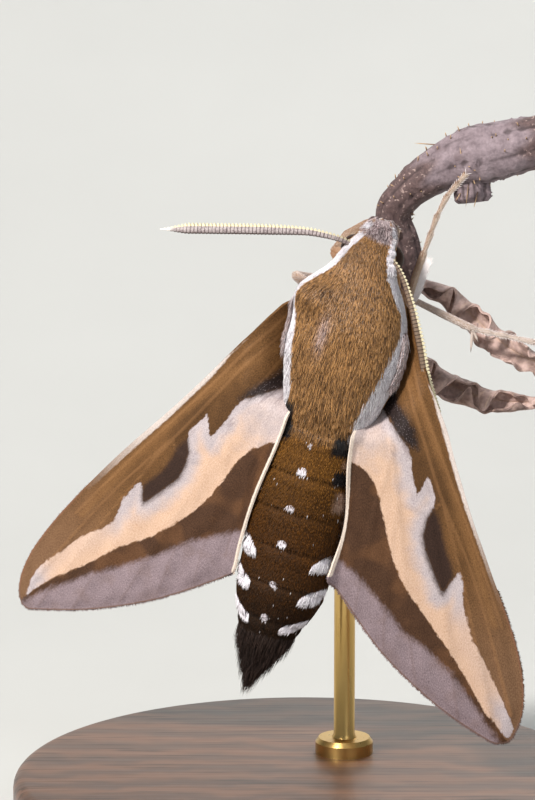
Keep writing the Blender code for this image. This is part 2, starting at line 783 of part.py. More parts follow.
def leaf(name, route, widths, curl, lobes):
    """A dead leaf: a curled ribbon along its midrib, with lobed edges."""
    path = spline(route, 3)
    sizes = [value.x for value in spline([(width, 0.0, 0.0) for width in widths], 3)]
    grid = []
    for index, (point, half, (side, rise)) in enumerate(
            zip(path, sizes, frames_along(path, vec(0.0, 0.0, 1.0)))):
        lobe = 1.0 + 0.22 * math.sin(2.0 * math.pi * index / lobes)
        bend = curl(index / (len(path) - 1))
        row = []
        for across in (-1.0, -0.5, 0.0, 0.5, 1.0):
            reach = across * half * (lobe if across < 0.0 else 2.0 - lobe)
            row.append(point + side * (reach * math.cos(bend * abs(across)))
                       + rise * (abs(reach) * math.sin(bend * abs(across))))
        grid.append(row)
    return sheet(name, grid, LEAF_THICKNESS)


def stem_path():
    path = spline(STEM_ROUTE, STEM_STEPS)
    radii = [value.x for value in spline([(radius, 0.0, 0.0) for radius in STEM_RADII], STEM_STEPS)]
    return path, radii, frames_along(path, vec(0.3, -0.2, 1.0))


def prickles():
    """Short spines all along the stem, kept clear of the moth and its feet."""
    path, radii, frames = stem_path()
    placed = 0
    while placed < PRICKLES:
        index = random.randrange(5, len(path) - 3)
        angle = random.uniform(0.0, 2.0 * math.pi)
        side, rise = frames[index]
        out = side * math.cos(angle) + rise * math.sin(angle)
        point = path[index]
        length = random.uniform(0.5, 1.1)
        if point.y < 9.0 and out.z > -0.2:
            continue
        if out.z > 0.25 and 2.6 < point.x < 6.0:
            continue
        placed += 1
        yield prickle("prickle", point + out * radii[index], out + vec(0.0, 0.35, 0.0), length, 0.25)
    yield prickle("thorn", vec(1.9, 14.7, -6.0), vec(-2.1, -0.35, 0.1), 2.2, 0.3)


def make_perch(mat, parent):
    path, radii, frames = stem_path()
    rings = []
    for index, (point, radius, (side, rise)) in enumerate(zip(path, radii, frames)):
        rough = 0.13 if 3 < index < len(path) - 2 else 0.0
        ring = []
        for i in range(STEM_SIDES):
            angle = 2.0 * math.pi * i / STEM_SIDES
            out = side * math.cos(angle) + rise * math.sin(angle)
            bump = noise.noise(out * 1.3 + point * 0.45)
            ring.append(point + out * (radius * (1.0 + rough * bump)))
        rings.append(ring)
    perch = loft("perch", rings)
    shoot = tube("shoot", spline(SHOOT, 3), [1.5, 1.5, 1.45, 1.4, 1.3, 1.2, 0.9], 9)
    pieces = [shoot]
    pieces.append(leaf("upper", UPPER_LEAF, UPPER_LEAF_WIDTHS, lambda t: 0.9 - 1.6 * t, 5.0))
    pieces.append(leaf("lower", LOWER_LEAF, LOWER_LEAF_WIDTHS, lambda t: 0.7 - 0.5 * t, 4.0))
    pieces += list(prickles())
    fuse(perch, pieces)
    finish(perch, mat, parent, 50.0)


# The stand


def make_stand(base_mat, rod_mat, stem_end):
    base = turned("stand_base", [(BASE_RADIUS, 0.0), (BASE_RADIUS, BASE_HEIGHT - BASE_BEVEL),
                                 (BASE_RADIUS - BASE_BEVEL, BASE_HEIGHT)], vec(0, 0, 0), 48)
    finish(base, base_mat)
    foot = BASE_HEIGHT + GAP
    top = stem_end.z - GAP
    rod = turned("stand_rod", [
        (COLLAR_RADIUS, foot), (COLLAR_RADIUS, foot + COLLAR_HEIGHT - 0.25),
        (COLLAR_RADIUS - 0.25, foot + COLLAR_HEIGHT), (ROD_RADIUS, foot + COLLAR_HEIGHT),
        (ROD_RADIUS, top - 2.2), (CUP_RADIUS - 0.5, top - 1.0), (CUP_RADIUS - 0.3, top),
    ], vec(stem_end.x, stem_end.y, 0.0), 16)
    finish(rod, rod_mat)


def main():
    clear_scene()
    random.seed(SEED)
    moth = bpy.data.objects.new("moth_frame", None)
    bpy.context.scene.collection.objects.link(moth)
    lay_upright = Matrix(((1, 0, 0), (0, 0, -1), (0, 1, 0))).to_4x4()
    pose = (Matrix.Translation(MOTH_ORIGIN) @ lay_upright
            @ Matrix.Rotation(LEAN_TO_THE_RIGHT, 4, "Z")
            @ Matrix.Rotation(TURN_ABOUT_BODY, 4, "Y"))
    stem_end = pose @ Vector(STEM_ROUTE[0])
    moth.matrix_world = Matrix.Translation(MOTH_ORIGIN * MM) @ pose.to_3x3().to_4x4()

    body_mat = material("body_fur", (0.22, 0.13, 0.05), 0.75)
    head_mat = material("head_fur", (0.45, 0.37, 0.33), 0.75)
    eye_mat = material("eye", (0.06, 0.03, 0.02), 0.2)
    fore_mat = material("forewing_scales", (0.3, 0.2, 0.12), 0.65)
    hind_mat = material("hindwing_scales", (0.5, 0.2, 0.16), 0.65)
    feeler_mat = material("antenna_scales", (0.6, 0.54, 0.45), 0.6)
    leg_mat = material("leg_scales", (0.6, 0.45, 0.32), 0.6)
    stem_mat = material("withered_stem", (0.12, 0.08, 0.08), 0.85)
    base_mat = material("stained_wood", (0.09, 0.045, 0.025), 0.4)
    rod_mat = material("brass", (0.75, 0.58, 0.28), 0.3, 1.0)

    make_head(head_mat, moth)
    make_eyes(eye_mat, moth)
    make_palps(head_mat, moth)
    make_thorax(body_mat, moth)
    make_abdomen(body_mat, moth)
    make_wings(fore_mat, hind_mat, moth)
    make_antennae(feeler_mat, moth)
    make_legs(leg_mat, moth)
    make_perch(stem_mat, moth)
    make_stand(base_mat, rod_mat, stem_end)


main()
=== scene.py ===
# %% [markdown]
# # A bedstraw hawk-moth on its stem
# A museum model of a moth is mostly surface: a furry body, wings dusted with scales, saw-edged feelers.
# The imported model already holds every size, so it is loaded first and never moved. Each piece below is
# modelled over its own solid, in the moth's own millimetres, and then put in place with one matrix.

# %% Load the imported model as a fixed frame
import json
import math

import bmesh
import bpy
import numpy as np
from mathutils import Matrix, Vector

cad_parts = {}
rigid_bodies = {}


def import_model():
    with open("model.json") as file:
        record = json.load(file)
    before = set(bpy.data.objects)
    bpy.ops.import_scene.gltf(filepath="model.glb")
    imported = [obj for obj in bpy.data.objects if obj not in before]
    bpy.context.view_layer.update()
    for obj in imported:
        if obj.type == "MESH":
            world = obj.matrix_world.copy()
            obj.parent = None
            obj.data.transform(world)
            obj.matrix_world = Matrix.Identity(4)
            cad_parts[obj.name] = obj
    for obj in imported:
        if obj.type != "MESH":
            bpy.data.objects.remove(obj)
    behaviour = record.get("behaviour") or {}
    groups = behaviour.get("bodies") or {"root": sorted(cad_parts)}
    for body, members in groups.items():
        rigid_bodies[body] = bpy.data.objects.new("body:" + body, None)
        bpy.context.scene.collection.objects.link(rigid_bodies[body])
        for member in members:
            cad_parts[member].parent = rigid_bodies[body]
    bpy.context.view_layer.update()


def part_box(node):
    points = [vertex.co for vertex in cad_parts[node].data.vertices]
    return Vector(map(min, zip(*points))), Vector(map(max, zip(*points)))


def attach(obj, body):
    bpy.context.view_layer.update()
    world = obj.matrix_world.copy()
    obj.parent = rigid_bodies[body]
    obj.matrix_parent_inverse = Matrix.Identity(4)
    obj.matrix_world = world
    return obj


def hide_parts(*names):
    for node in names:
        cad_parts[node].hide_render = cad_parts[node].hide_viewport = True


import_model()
MM = 0.001
SIDES = {"left": -1, "right": 1}
chance = np.random.default_rng(11)

# %% [markdown]
# ## Where the moth hangs
# The solids were made in a frame that lies along the animal: +X is its right side, +Y points to the head and
# +Z to its back. The same frame is used here, because a leg or a wing is far easier to describe on a moth
# that lies flat. The matrix stands it up, leans it and turns it a little. The right eye is a good test of
# the matrix: its centre has to fall in the middle of the solid eye.

# %% The matrix from moth to world
MOTH_ORIGIN = Vector((3.0, -2.5, 37.5))
LEAN = math.radians(-14.35)
TURN = math.radians(-15.6)
LAY_UPRIGHT = Matrix(((1, 0, 0), (0, 0, -1), (0, 1, 0))).to_4x4()
HANG = (Matrix.Scale(MM, 4) @ Matrix.Translation(MOTH_ORIGIN) @ LAY_UPRIGHT
        @ Matrix.Rotation(LEAN, 4, "Z") @ Matrix.Rotation(TURN, 4, "Y"))

EYE_CENTRE = Vector((1.5, 6.45, -0.45))
low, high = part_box("eye_right")
print("right eye, mm from the solid's middle:", round(((low + high) / 2 - HANG @ EYE_CENTRE).length / MM, 2))

# %% [markdown]
# ## Helpers
# Most shapes start as one of Blender's own primitives and are cut and drawn out with its edit operators. The
# helpers below select, add and modify, and the last one puts a finished piece in its place.

# %% Small helpers for modelling by hand
def deselect():
    """Nothing selected, so that the next operator meets only what it should."""
    if bpy.context.object and bpy.context.object.mode != "OBJECT":
        bpy.ops.object.mode_set(mode="OBJECT")
    bpy.ops.object.select_all(action="DESELECT")


def take(piece):
    """Make one object the selected and active one."""
    deselect()
    piece.select_set(True)
    bpy.context.view_layer.objects.active = piece


def new_piece(name):
    """The object that an operator has just added, renamed."""
    piece = bpy.context.object
    piece.name = piece.data.name = name
    return piece


def add_object(name, data):
    """A new object in the scene that holds this mesh, lamp or lens."""
    holder = bpy.data.objects.new(name, data)
    bpy.context.scene.collection.objects.link(holder)
    return holder


def pick(piece, kind, wanted):
    """In edit mode, select just the edges or the faces that pass a test."""
    bpy.ops.mesh.select_mode(type=kind)
    bpy.ops.mesh.select_all(action="DESELECT")
    shape = bmesh.from_edit_mesh(piece.data)
    for part in shape.edges if kind == "EDGE" else shape.faces:
        part.select = wanted(part)
    shape.select_flush_mode()
    bmesh.update_edit_mesh(piece.data)


def modify(piece, kind, **settings):
    """Put one modifier on an object and apply it."""
    modifier = piece.modifiers.new(kind.lower(), kind)
    for key, value in settings.items():
        setattr(modifier, key, value)
    take(piece)
    bpy.ops.object.modifier_apply(modifier=modifier.name)


def triangles(piece):
    piece.data.calc_loop_triangles()
    return len(piece.data.loop_triangles)


def settle(piece, finish, stands_for=(), place=HANG, angle=60):
    """Put a finished piece in its place in the world, with its finish and its CAD nodes."""
    take(piece)
    piece.data.transform(place)
    if finish:
        piece.data.materials.clear()
        piece.data.materials.append(finish)
    bpy.ops.object.shade_smooth_by_angle(angle=math.radians(angle), keep_sharp_edges=False)
    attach(piece, "root")
    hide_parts(*stands_for)
    print(piece.name, triangles(piece), "triangles")


# %% [markdown]
# ## Camera, floor and light
# The camera looks a little down on the moth's back from 300 mm, which is how a close-up lens sees it. The
# lens is as long as the animal's size in the picture asks. The floor sweeps up behind into a backdrop, as
# in a photographer's light tent, so no horizon line crosses the wings. One warm lamp high on the left models
# the forms, a weak lamp on the right and the pale world keep the shadows open, and one from behind lights
# the edges.

# %% Camera
PHOTO_HEIGHT = 800
PIXELS_PER_MM = 13.69
CAMERA_DISTANCE = 300.0
CAMERA_HEIGHT_ANGLE = math.radians(11.0)
LOOK_RIGHT_OF_MOTH, LOOK_ABOVE_MOTH = -5.9, -4.5
SENSOR_MM = 36.0

right = Vector((1, 0, 0))
up = Vector((0, math.sin(CAMERA_HEIGHT_ANGLE), math.cos(CAMERA_HEIGHT_ANGLE)))
back = right.cross(up)
stand_point = MOTH_ORIGIN + right * LOOK_RIGHT_OF_MOTH + up * LOOK_ABOVE_MOTH + back * CAMERA_DISTANCE

lens_view = bpy.data.cameras.new("close_up_lens")
lens_view.sensor_width = SENSOR_MM
lens_view.lens = SENSOR_MM * CAMERA_DISTANCE * PIXELS_PER_MM / PHOTO_HEIGHT
lens_view.clip_start = 0.02
camera = add_object("close_up_camera", lens_view)
axes = Matrix((right, up, back)).transposed()
camera.matrix_world = Matrix.LocRotScale(stand_point * MM, axes.to_quaternion(), None)
bpy.context.scene.camera = camera
print("lens:", round(lens_view.lens, 1), "mm")

# %% Floor and backdrop
FLOOR_FRONT, FLOOR_BACK, FLOOR_SIDE = -0.9, 0.35, 1.4
BACKDROP_HEIGHT, BACKDROP_CURVE = 1.3, 0.28
deselect()
bpy.ops.mesh.primitive_plane_add(size=1.0, location=(0, (FLOOR_FRONT + FLOOR_BACK) / 2, 0))
floor = new_piece("floor")
floor.scale = (2 * FLOOR_SIDE, FLOOR_BACK - FLOOR_FRONT, 1)
bpy.ops.object.transform_apply(location=True, scale=True)
bpy.ops.object.mode_set(mode="EDIT")
pick(floor, "EDGE", lambda edge: all(corner.co.y > 0 for corner in edge.verts))
bpy.ops.mesh.extrude_region_move(TRANSFORM_OT_translate={"value": (0, 0, BACKDROP_HEIGHT)})
bpy.ops.object.mode_set(mode="OBJECT")
modify(floor, "BEVEL", width=BACKDROP_CURVE, segments=16, limit_method="ANGLE")
bpy.ops.object.shade_smooth_by_angle(angle=math.radians(60))

# %% Lights
# Each lamp has a place in metres, its power in watts, its width in metres and its tint.
LAMPS = {"key_lamp": ((-0.24, -0.31, 0.36), 3.8, 0.07, (1.0, 0.97, 0.93)),
         "fill_lamp": ((0.26, -0.4, 0.3), 0.55, 0.35, (0.9, 0.95, 1.0)),
         "rim_lamp": ((0.1, 0.3, 0.35), 0.8, 0.15, (1.0, 1.0, 1.0))}
SKY_TINT, SKY_STRENGTH = (0.9, 0.95, 1.0, 1.0), 0.24

for name, (place, watts, width, tint) in LAMPS.items():
    light = bpy.data.lights.new(name, "AREA")
    light.energy, light.size, light.color = watts, width, tint
    aim = (MOTH_ORIGIN * MM - Vector(place)).to_track_quat("-Z", "Y")
    add_object(name, light).matrix_world = Matrix.LocRotScale(Vector(place), aim, None)
world = bpy.data.worlds.new("light_tent")
bpy.context.scene.world = world
world.use_nodes = True
sky = world.node_tree.nodes["Background"]
sky.inputs["Color"].default_value = SKY_TINT
sky.inputs["Strength"].default_value = SKY_STRENGTH
bpy.context.scene.view_settings.view_transform = "Standard"

# %% [markdown]
# ## A little language for finishes
# Node trees are hard to read as lists of links. The small class below wraps one output socket and overloads
# + - *, so that a pattern is written as a sum, and each sum adds its Math node. Everything else comes
# from one method, node(), which sets a node's settings first and then fills or links its sockets. A
# finish is then a first colour with others laid over it, each by its own amount.


# %% Sockets that can be added and multiplied
class Wire:
    """One output of a node, ready for arithmetic."""

    def __init__(self, finish, socket):
        self.finish = finish
        self.socket = socket

    def math(self, operation, *inputs, clamp=False):
        return self.finish.node("ShaderNodeMath", {"operation": operation, "use_clamp": clamp}, inputs)

    def __add__(self, other):
        return self.math("ADD", self, other)

    def __sub__(self, other):
        return self.math("SUBTRACT", self, other)

    def __rsub__(self, other):
        return self.math("SUBTRACT", other, self)

    def __mul__(self, other):
        return self.math("MULTIPLY", self, other)

    def clamped(self):
        return self.math("ADD", self, 0.0, clamp=True)

    def at_least(self, other):
        return self.math("MAXIMUM", self, other)


class Finish:
    """A material with one Principled shader, built up node by node."""

    def __init__(self, name, **constants):
        self.material = bpy.data.materials.new(name)
        self.material.use_nodes = True
        self.tree = self.material.node_tree
        self.shader = self.tree.nodes["Principled BSDF"]
        for key, value in constants.items():
            self.shader.inputs[key.replace("_", " ").title().replace("Ior", "IOR")].default_value = value

    def node(self, kind, settings=(), inputs=(), output=0):
        """A new node with its settings, and its inputs by name or number, each a wire or a plain value."""
        made = self.tree.nodes.new(kind)
        for key, value in dict(settings).items():
            setattr(made, key, value)
        pairs = inputs.items() if isinstance(inputs, dict) else enumerate(inputs)
        for key, value in pairs:
            if isinstance(value, Wire):
                self.tree.links.new(value.socket, made.inputs[key])
            else:
                made.inputs[key].default_value = value
        return Wire(self, made.outputs[output])

    def feed(self, **wires):
        """Link wires to the Principled shader, by the socket's name."""
        for key, wire in wires.items():
            self.tree.links.new(wire.socket, self.shader.inputs[key.replace("_", " ").title()])
        return self.material

    def value(self, name):
        """A number that is stored on the mesh, by its attribute's name."""
        return self.node("ShaderNodeAttribute", {"attribute_name": name}, output=2)

    def place(self):
        return self.node("ShaderNodeTexCoord", output=3)

    def noise(self, size_mm, where=None, detail=2.0):
        """Noise between 0 and 1 whose lumps are about this many millimetres wide."""
        return self.node("ShaderNodeTexNoise", {}, {"Vector": where or self.place(),
                                                    "Scale": 1.0 / (size_mm * MM), "Detail": detail})

    def stretched(self, size, where=None):
        """Coordinates squeezed along the axes, so that a pattern on them is drawn out."""
        return self.node("ShaderNodeMapping", {}, {"Vector": where or self.place(), "Scale": size})

    def mix(self, amount, low, high):
        """Blend two colours. Each is a wire, or red, green and blue as seen on screen, 0 to 255."""
        low, high = (side if isinstance(side, Wire) else light_values(side) for side in (low, high))
        return self.node("ShaderNodeMix", {"data_type": "RGBA", "clamp_factor": True},
                         {0: amount, 6: low, 7: high}, output=2)

    def layers(self, tone, *coats):
        """Lay colours over a first one. Each coat is an amount from 0 to 1 and a colour."""
        for amount, over in coats:
            tone = self.mix(amount, tone, over)
        return tone

    def between(self, value, low, high):
        """0 below low, 1 above high and a soft step in between."""
        return self.node("ShaderNodeMapRange", {"interpolation_type": "SMOOTHSTEP"},
                         {"Value": value, "From Min": low, "From Max": high})

    def bump(self, height, depth_mm, strength=1.0):
        return self.node("ShaderNodeBump", {}, {"Height": height, "Distance": depth_mm * MM,
                                                "Strength": strength})


def light_values(screen_colour):
    """A colour as it looks on screen, 0 to 255, turned into the light values that shaders use."""
    channels = [channel / 255 for channel in screen_colour]
    return (*[c / 12.92 if c <= 0.04045 else ((c + 0.055) / 1.055) ** 2.4 for c in channels], 1.0)


# The paper shows only from its front, so that the model can be looked at from behind as well.
backdrop = Finish("pale_paper", roughness=0.9)
backdrop.feed(base_color=backdrop.mix(backdrop.noise(40.0, detail=3.0), (190, 190, 187), (200, 200, 197)))
from_behind = backdrop.node("ShaderNodeNewGeometry", output=6)
paper = Wire(backdrop, backdrop.shader.outputs[0])
clear = backdrop.node("ShaderNodeBsdfTransparent")
one_sided = backdrop.node("ShaderNodeMixShader", inputs={0: from_behind, 1: paper, 2: clear})
backdrop.tree.links.new(one_sided.socket, backdrop.tree.nodes["Material Output"].inputs["Surface"])
floor.data.materials.append(backdrop.material)
print("paper faces the moth:",
      all(face.normal.z > 0.01 or face.normal.y < -0.01 for face in floor.data.polygons))

# %% [markdown]
# ## The body's surface
# Head, thorax and abdomen of a hawk-moth run into one spindle, furry in front and smooth behind. The solids
# give its half width, and its height above and below, at a row of places from the face to the tail. One
# function turns a place along the body and an angle round it into a point and a normal. The skin, every
# tuft and every marking are set with it, so they always agree.

# %% Girth of the body along its length
HEAD_FRONT, ABDOMEN_FRONT, TAIL_TIP = 9.05, -7.0, -27.1
HEAD_AND_THORAX = [
    (9.05, 0.6, 0.5, 0.8), (8.8, 0.98, 0.95, 1.15), (8.3, 1.3, 1.45, 1.6), (7.5, 1.65, 1.9, 2.0),
    (6.7, 2.0, 2.2, 2.2), (5.9, 2.35, 2.45, 2.3), (5.6, 2.5, 2.55, 2.4), (4.9, 2.85, 2.85, 2.9),
    (3.9, 3.35, 3.2, 3.4), (2.5, 4.05, 3.55, 3.9), (1.0, 4.5, 3.85, 4.2), (-0.5, 4.65, 3.9, 4.2),
    (-2.0, 4.5, 3.85, 4.05), (-3.5, 4.15, 3.7, 3.75), (-5.0, 3.75, 3.5, 3.45), (-6.1, 3.45, 3.25, 3.2),
]
RING_EDGES = [ABDOMEN_FRONT, -10.2, -12.98, -15.76, -18.54, -21.32, -24.1]


def abdomen_size(y):
    """Half width and half height of the abdomen: a slight swell, then a long taper to the tail."""
    along = (ABDOMEN_FRONT - y) / (ABDOMEN_FRONT - TAIL_TIP)
    swell = 0.93 + 0.09 * np.sin(np.pi * np.minimum(1.0, along / 0.75))
    taper = np.maximum(0.0, 1.0 - np.maximum(0.0, (along - 0.62) / 0.38) ** 1.3)
    return 3.45 * swell * (0.06 + 0.94 * taper), 3.1 * swell * (0.06 + 0.94 * taper)


def ease(low, high, value):
    """0 at low, 1 at high, and an S curve between."""
    t = np.clip((value - low) / (high - low), 0.0, 1.0)
    return t * t * (3.0 - 2.0 * t)


abdomen_places = np.arange(-7.2, TAIL_TIP - 0.01, -0.4)
widths, heights = abdomen_size(abdomen_places)
stations = np.array(HEAD_AND_THORAX + list(zip(abdomen_places, widths, heights, heights)))[::-1]
fine_y = np.linspace(TAIL_TIP, HEAD_FRONT, 720)


def smoothed(row, half):
    """A running mean that is weighted to its middle."""
    window = np.hanning(2 * half + 1)
    return np.convolve(np.pad(row, half, mode="edge"), window / window.sum(), "valid")


# The face and the tail keep their tight curves, and the long back between them is evened out.
FACE_SMOOTHING, BACK_SMOOTHING = 7, 32
long_back = ease(7.8, 6.6, fine_y) * ease(-25.5, -24.0, fine_y)
GIRTH = []
for k in (1, 2, 3):
    size = np.interp(fine_y, stations[:, 0], stations[:, k])
    GIRTH.append(smoothed(size, FACE_SMOOTHING) * (1 - long_back)
                 + smoothed(size, BACK_SMOOTHING) * long_back)
print("widest half of the body:", round(GIRTH[0].max(), 2), "mm")


# %% A place on the body by length and angle
SHOULDER_BULGE, LOBE_HEIGHT = 0.85, 0.34


def girth(y, gap=0.0):
    """Half width, height above and height below along the body, all with a gap added."""
    return [np.interp(y, fine_y, row) + gap for row in GIRTH]


def unit(rows):
    """Directions with their lengths brought to 1."""
    return rows / np.linalg.norm(rows, axis=-1, keepdims=True)


def centre_line(y):
    """The tail swings a little to the left, the face a little to the right."""
    return (0.25 * ease(6.4, 8.8, y) - 0.32 * np.exp(-((y + 13.0) / 4.0) ** 2)
            - 0.75 * (np.maximum(0.0, -14.0 - y) / 13.1) ** 2)


def ring_relief(y):
    """Each ring of the abdomen rises to its hind edge and steps down behind it."""
    share = np.zeros_like(y)
    for front, rear in zip(RING_EDGES, RING_EDGES[1:]):
        inside = (y <= front) & (y > rear)
        share = np.where(inside, (front - y) / (front - rear), share)
    return np.where((y < RING_EDGES[0]) & (y > RING_EDGES[-1]), -0.13 + 0.18 * ease(0.0, 0.35, share), 0.0)


def coat_depth(y):
    """How far the skin lies inside the solids: deep under the thorax's hair, shallow elsewhere."""
    return 0.09 + 0.17 * ease(6.3, 4.5, y) * ease(-8.2, -6.4, y)


def shoulder(y, rise, side):
    """The left wing is held out further, and its root pushes that shoulder out."""
    bulge = np.exp(-((y - 2.9) / 1.6) ** 2)
    return SHOULDER_BULGE * bulge * ease(0.0, -0.8, side) * ease(-1.0, -0.2, rise)


def face_lobes(y, turn):
    """Lobes of white hair stand out over the root of the right feeler."""
    lobes = 0.8 + 0.18 * np.sin(6.3 * y + 0.4) + 0.1 * np.sin(14.0 * y + 5 * turn)
    lobes = lobes * ease(5.4, 5.9, y) * ease(8.15, 7.85, y)
    return LOBE_HEIGHT * lobes * np.exp(-((turn - 0.47) / 0.2) ** 2)


def body_point(y, degrees):
    """Points on the skin. 0 degrees is the right side, 90 the back."""
    y = np.asarray(y, float)
    turn = np.radians(degrees)
    half, above, below = girth(y)
    rise = np.sin(turn)
    height = below + (above - below) * ease(-0.35, 0.35, rise)
    inset = ring_relief(y) - coat_depth(y) + shoulder(y, rise, np.cos(turn)) + face_lobes(y, turn)
    across = centre_line(y) + (half + inset) * np.cos(turn)
    return np.stack([across, y + 0 * turn, (height + inset) * rise], -1)


def body_axes(y, degrees):
    """At each place: the way to the tail, the way round, and the way out of the skin."""
    tailward = unit(body_point(y - 0.05, degrees) - body_point(y + 0.05, degrees))
    around = body_point(y, degrees + 0.5) - body_point(y, degrees - 0.5)
    out = unit(np.cross(tailward, around))
    from_axis = body_point(y, degrees) - np.stack([centre_line(y), y, 0 * y], -1)
    out = np.where((out * from_axis).sum(-1)[:, None] < 0, -out, out)
    return tailward, np.cross(out, tailward), out


print("back of the thorax, mm:", body_point(np.array([-0.5]), np.array([90.0])).round(2))

# %% [markdown]
# ## The markings
# Two white stripes run from the feelers over the shoulders to the wings. The abdomen has black and white
# patches at its sides and a row of white dots down its middle. Each is written as a region of length and
# angle, with one list of corner values for each side, because the animal leans and the two sides show
# differently. The same function marks the skin and every tuft.

# %% Where each marking lies
STRIPE_UPPER = {
    "left": [(9.0, 64), (7.9, 64), (7.0, 52), (5.7, 44), (4.3, 32), (3.0, 24), (1.7, 24), (1.1, 30), (-0.1, 38),
             (-1.1, 40), (-2.8, 46), (-4.1, 46), (-4.9, 32), (-6.8, 20)],
    "right": [(9.0, 30), (8.2, 32), (6.9, 40), (5.8, 40), (5.0, 30), (4.0, 24), (3.1, 14), (1.7, 20), (-0.3, 34),
              (-2.4, 40), (-4.4, 46), (-6.3, 44), (-6.8, 42)],
}
STRIPE_LOWER = {
    "left": [(9.0, 36), (8.0, 34), (7.4, 22), (6.8, 18), (5.9, 16), (5.0, 6), (4.0, -4), (2.0, -6), (0.0, 4),
             (-0.6, 8), (-7.0, 14)],
    "right": [(9.0, 4), (8.0, 6), (7.0, 12), (5.9, 12), (5.0, 4), (4.0, -6), (2.0, -8), (0.0, 0), (-7.0, 4)],
}
BLACK_PATCHES = {"left": [(-4.5, -8.0, 20, 56), (-9.2, -10.3, 6, 42)],
                 "right": [(-5.9, -8.15, 14, 62), (-9.2, -10.4, 8, 48)]}
FACE_SPOTS = {"left": (8.62, 42, 0.26, 26), "right": (8.5, 14, 0.45, 16)}
PINK_PATCHES = [(-8.3, -9.05, 14, 36, 0.7), (-10.9, -12.3, 6, 34, 0.55)]
WHITE_PETALS = {"left": [(-15.85, 2, 56, 0.48), (-18.3, 0, 56, 0.5), (-20.8, 0, 58, 0.48)],
                "right": [(-16.0, 4, 46, 0.4), (-18.55, 2, 50, 0.44), (-21.05, 8, 56, 0.36)]}
BACK_DOTS = [(-7.8, 0.26, 0.6), (-9.9, 0.46, 0.95), (-12.75, 0.34, 0.95), (-15.5, 0.42, 1.0),
             (-18.6, 0.36, 0.95), (-21.3, 0.5, 0.7)]


def span(value, low, high, soft):
    """1 between low and high, falling off over the soft width at both ends."""
    return ease(low - soft, low + soft, value) * ease(high + soft, high - soft, value)


def body_markings(y, degrees):
    """Amounts from 0 to 1 of each coat colour at places on the body."""
    degrees = (np.asarray(degrees, float) + 90.0) % 360.0 - 90.0
    side_angle = 90.0 - np.abs(degrees - 90.0)
    left = degrees > 90.0
    white, black = np.zeros_like(y), np.zeros_like(y)
    for word, here in (("left", left), ("right", ~left)):
        upper = np.interp(-y, *(np.array(STRIPE_UPPER[word]) * (-1, 1)).T)
        lower = np.interp(-y, *(np.array(STRIPE_LOWER[word]) * (-1, 1)).T)
        stripe = span(side_angle, lower, upper, 2.0) * ease(-6.9, -6.5, y) * ease(8.25, 7.95, y)
        place, angle, length, width = FACE_SPOTS[word]
        spot = ease(1.3, 0.7, np.hypot((y - place) / length, (side_angle - angle) / width))
        stripe = np.maximum(stripe, 0.9 * spot)
        patches = sum(span(y, rear, front, 0.1) * span(side_angle, low, high, 3.0)
                      for front, rear, low, high in BLACK_PATCHES[word])
        for start, low, high, half in WHITE_PETALS[word]:
            middle = start - 0.016 * side_angle
            narrow = half * (0.45 + 0.55 * span(side_angle, low + 8, high - 16, 10.0))
            petal = span(y, middle - narrow, middle + narrow, 0.07) * span(side_angle, low, high, 2.0)
            stripe = np.maximum(stripe, petal)
        white = np.where(here, stripe, white)
        black = np.where(here, np.minimum(patches, 1.0), black)
    pink = sum(amount * span(y, rear, front, 0.2) * span(side_angle, low, high, 8.0)
               for front, rear, low, high, amount in PINK_PATCHES)
    across = (90.0 - side_angle) * np.where(left, -1.0, 1.0) * 0.052
    for place, size, amount in BACK_DOTS:
        reach = np.hypot(y - place, across)
        white = np.maximum(white, amount * ease(size, size * 0.45, reach))
    face = ease(7.75, 8.05, y + 0.3 * np.cos(np.radians(degrees)))
    collar = span(y, 7.95, 8.14, 0.06) * span(degrees, 44, 112, 8.0)
    brow = face * np.maximum(collar, span(y, 8.2, 8.72, 0.1) * span(degrees, 58, 82, 7.0))
    black = np.maximum(black, 0.5 * brow)
    seams = sum(span(y, rear - 0.02, rear + 0.14, 0.05) for rear in RING_EDGES[1:])
    return {
        "white": np.clip(white, 0, 1),
        "black": black * (1 - white),
        "belly": ease(-12.0, -45.0, side_angle),
        "pink": pink * (1 - white) * (1 - black),
        "seam": seams,
        "lilac": face * (1 - white),
        "rear": np.clip((-7.0 - y) / 17.0, 0, 1),
        "abdomen": ease(-6.2, -8.2, y),
    }


# %% [markdown]
# ## The skin
# One closed skin runs from face to tail, so no seam shows between head, thorax and abdomen. A cylinder is
# cut into many rings by subdividing its long edges, and each ring is then blown up to the body's girth. It
# could be a subdivision surface over few rings, but the small steps between the abdomen's rings need rows
# of their own. The last rows at each end close in to a dome.

# %% Blow a ringed cylinder up to the body
SKIN_SIDES, SKIN_RINGS, CAP_ROWS = 96, 430, 9


def ringed_cylinder(name, sides, rings):
    """A closed cylinder of radius 1 along Y from 0 to 1, cut into rings, ten at a time."""
    deselect()
    bpy.ops.mesh.primitive_cylinder_add(vertices=sides, radius=1.0, depth=1.0, location=(0, 0.5, 0),
                                        rotation=(math.radians(90), 0, 0))
    piece = new_piece(name)
    bpy.ops.object.transform_apply(location=True, rotation=True)
    bpy.ops.object.mode_set(mode="EDIT")
    for cuts in (rings // 10 - 1, 9):
        pick(piece, "EDGE", lambda edge: abs(edge.verts[0].co.y - edge.verts[1].co.y) > 0.5 / rings)
        if cuts:
            bpy.ops.mesh.subdivide(number_cuts=cuts)
    pick(piece, "FACE", lambda face: len(face.verts) > 4)
    bpy.ops.mesh.poke()
    bpy.ops.object.mode_set(mode="OBJECT")
    return piece


def points_of(piece):
    points = np.empty(len(piece.data.vertices) * 3)
    piece.data.vertices.foreach_get("co", points)
    return points.reshape(-1, 3)


def set_points(piece, points):
    piece.data.vertices.foreach_set("co", np.asarray(points, float).ravel())
    piece.data.update()


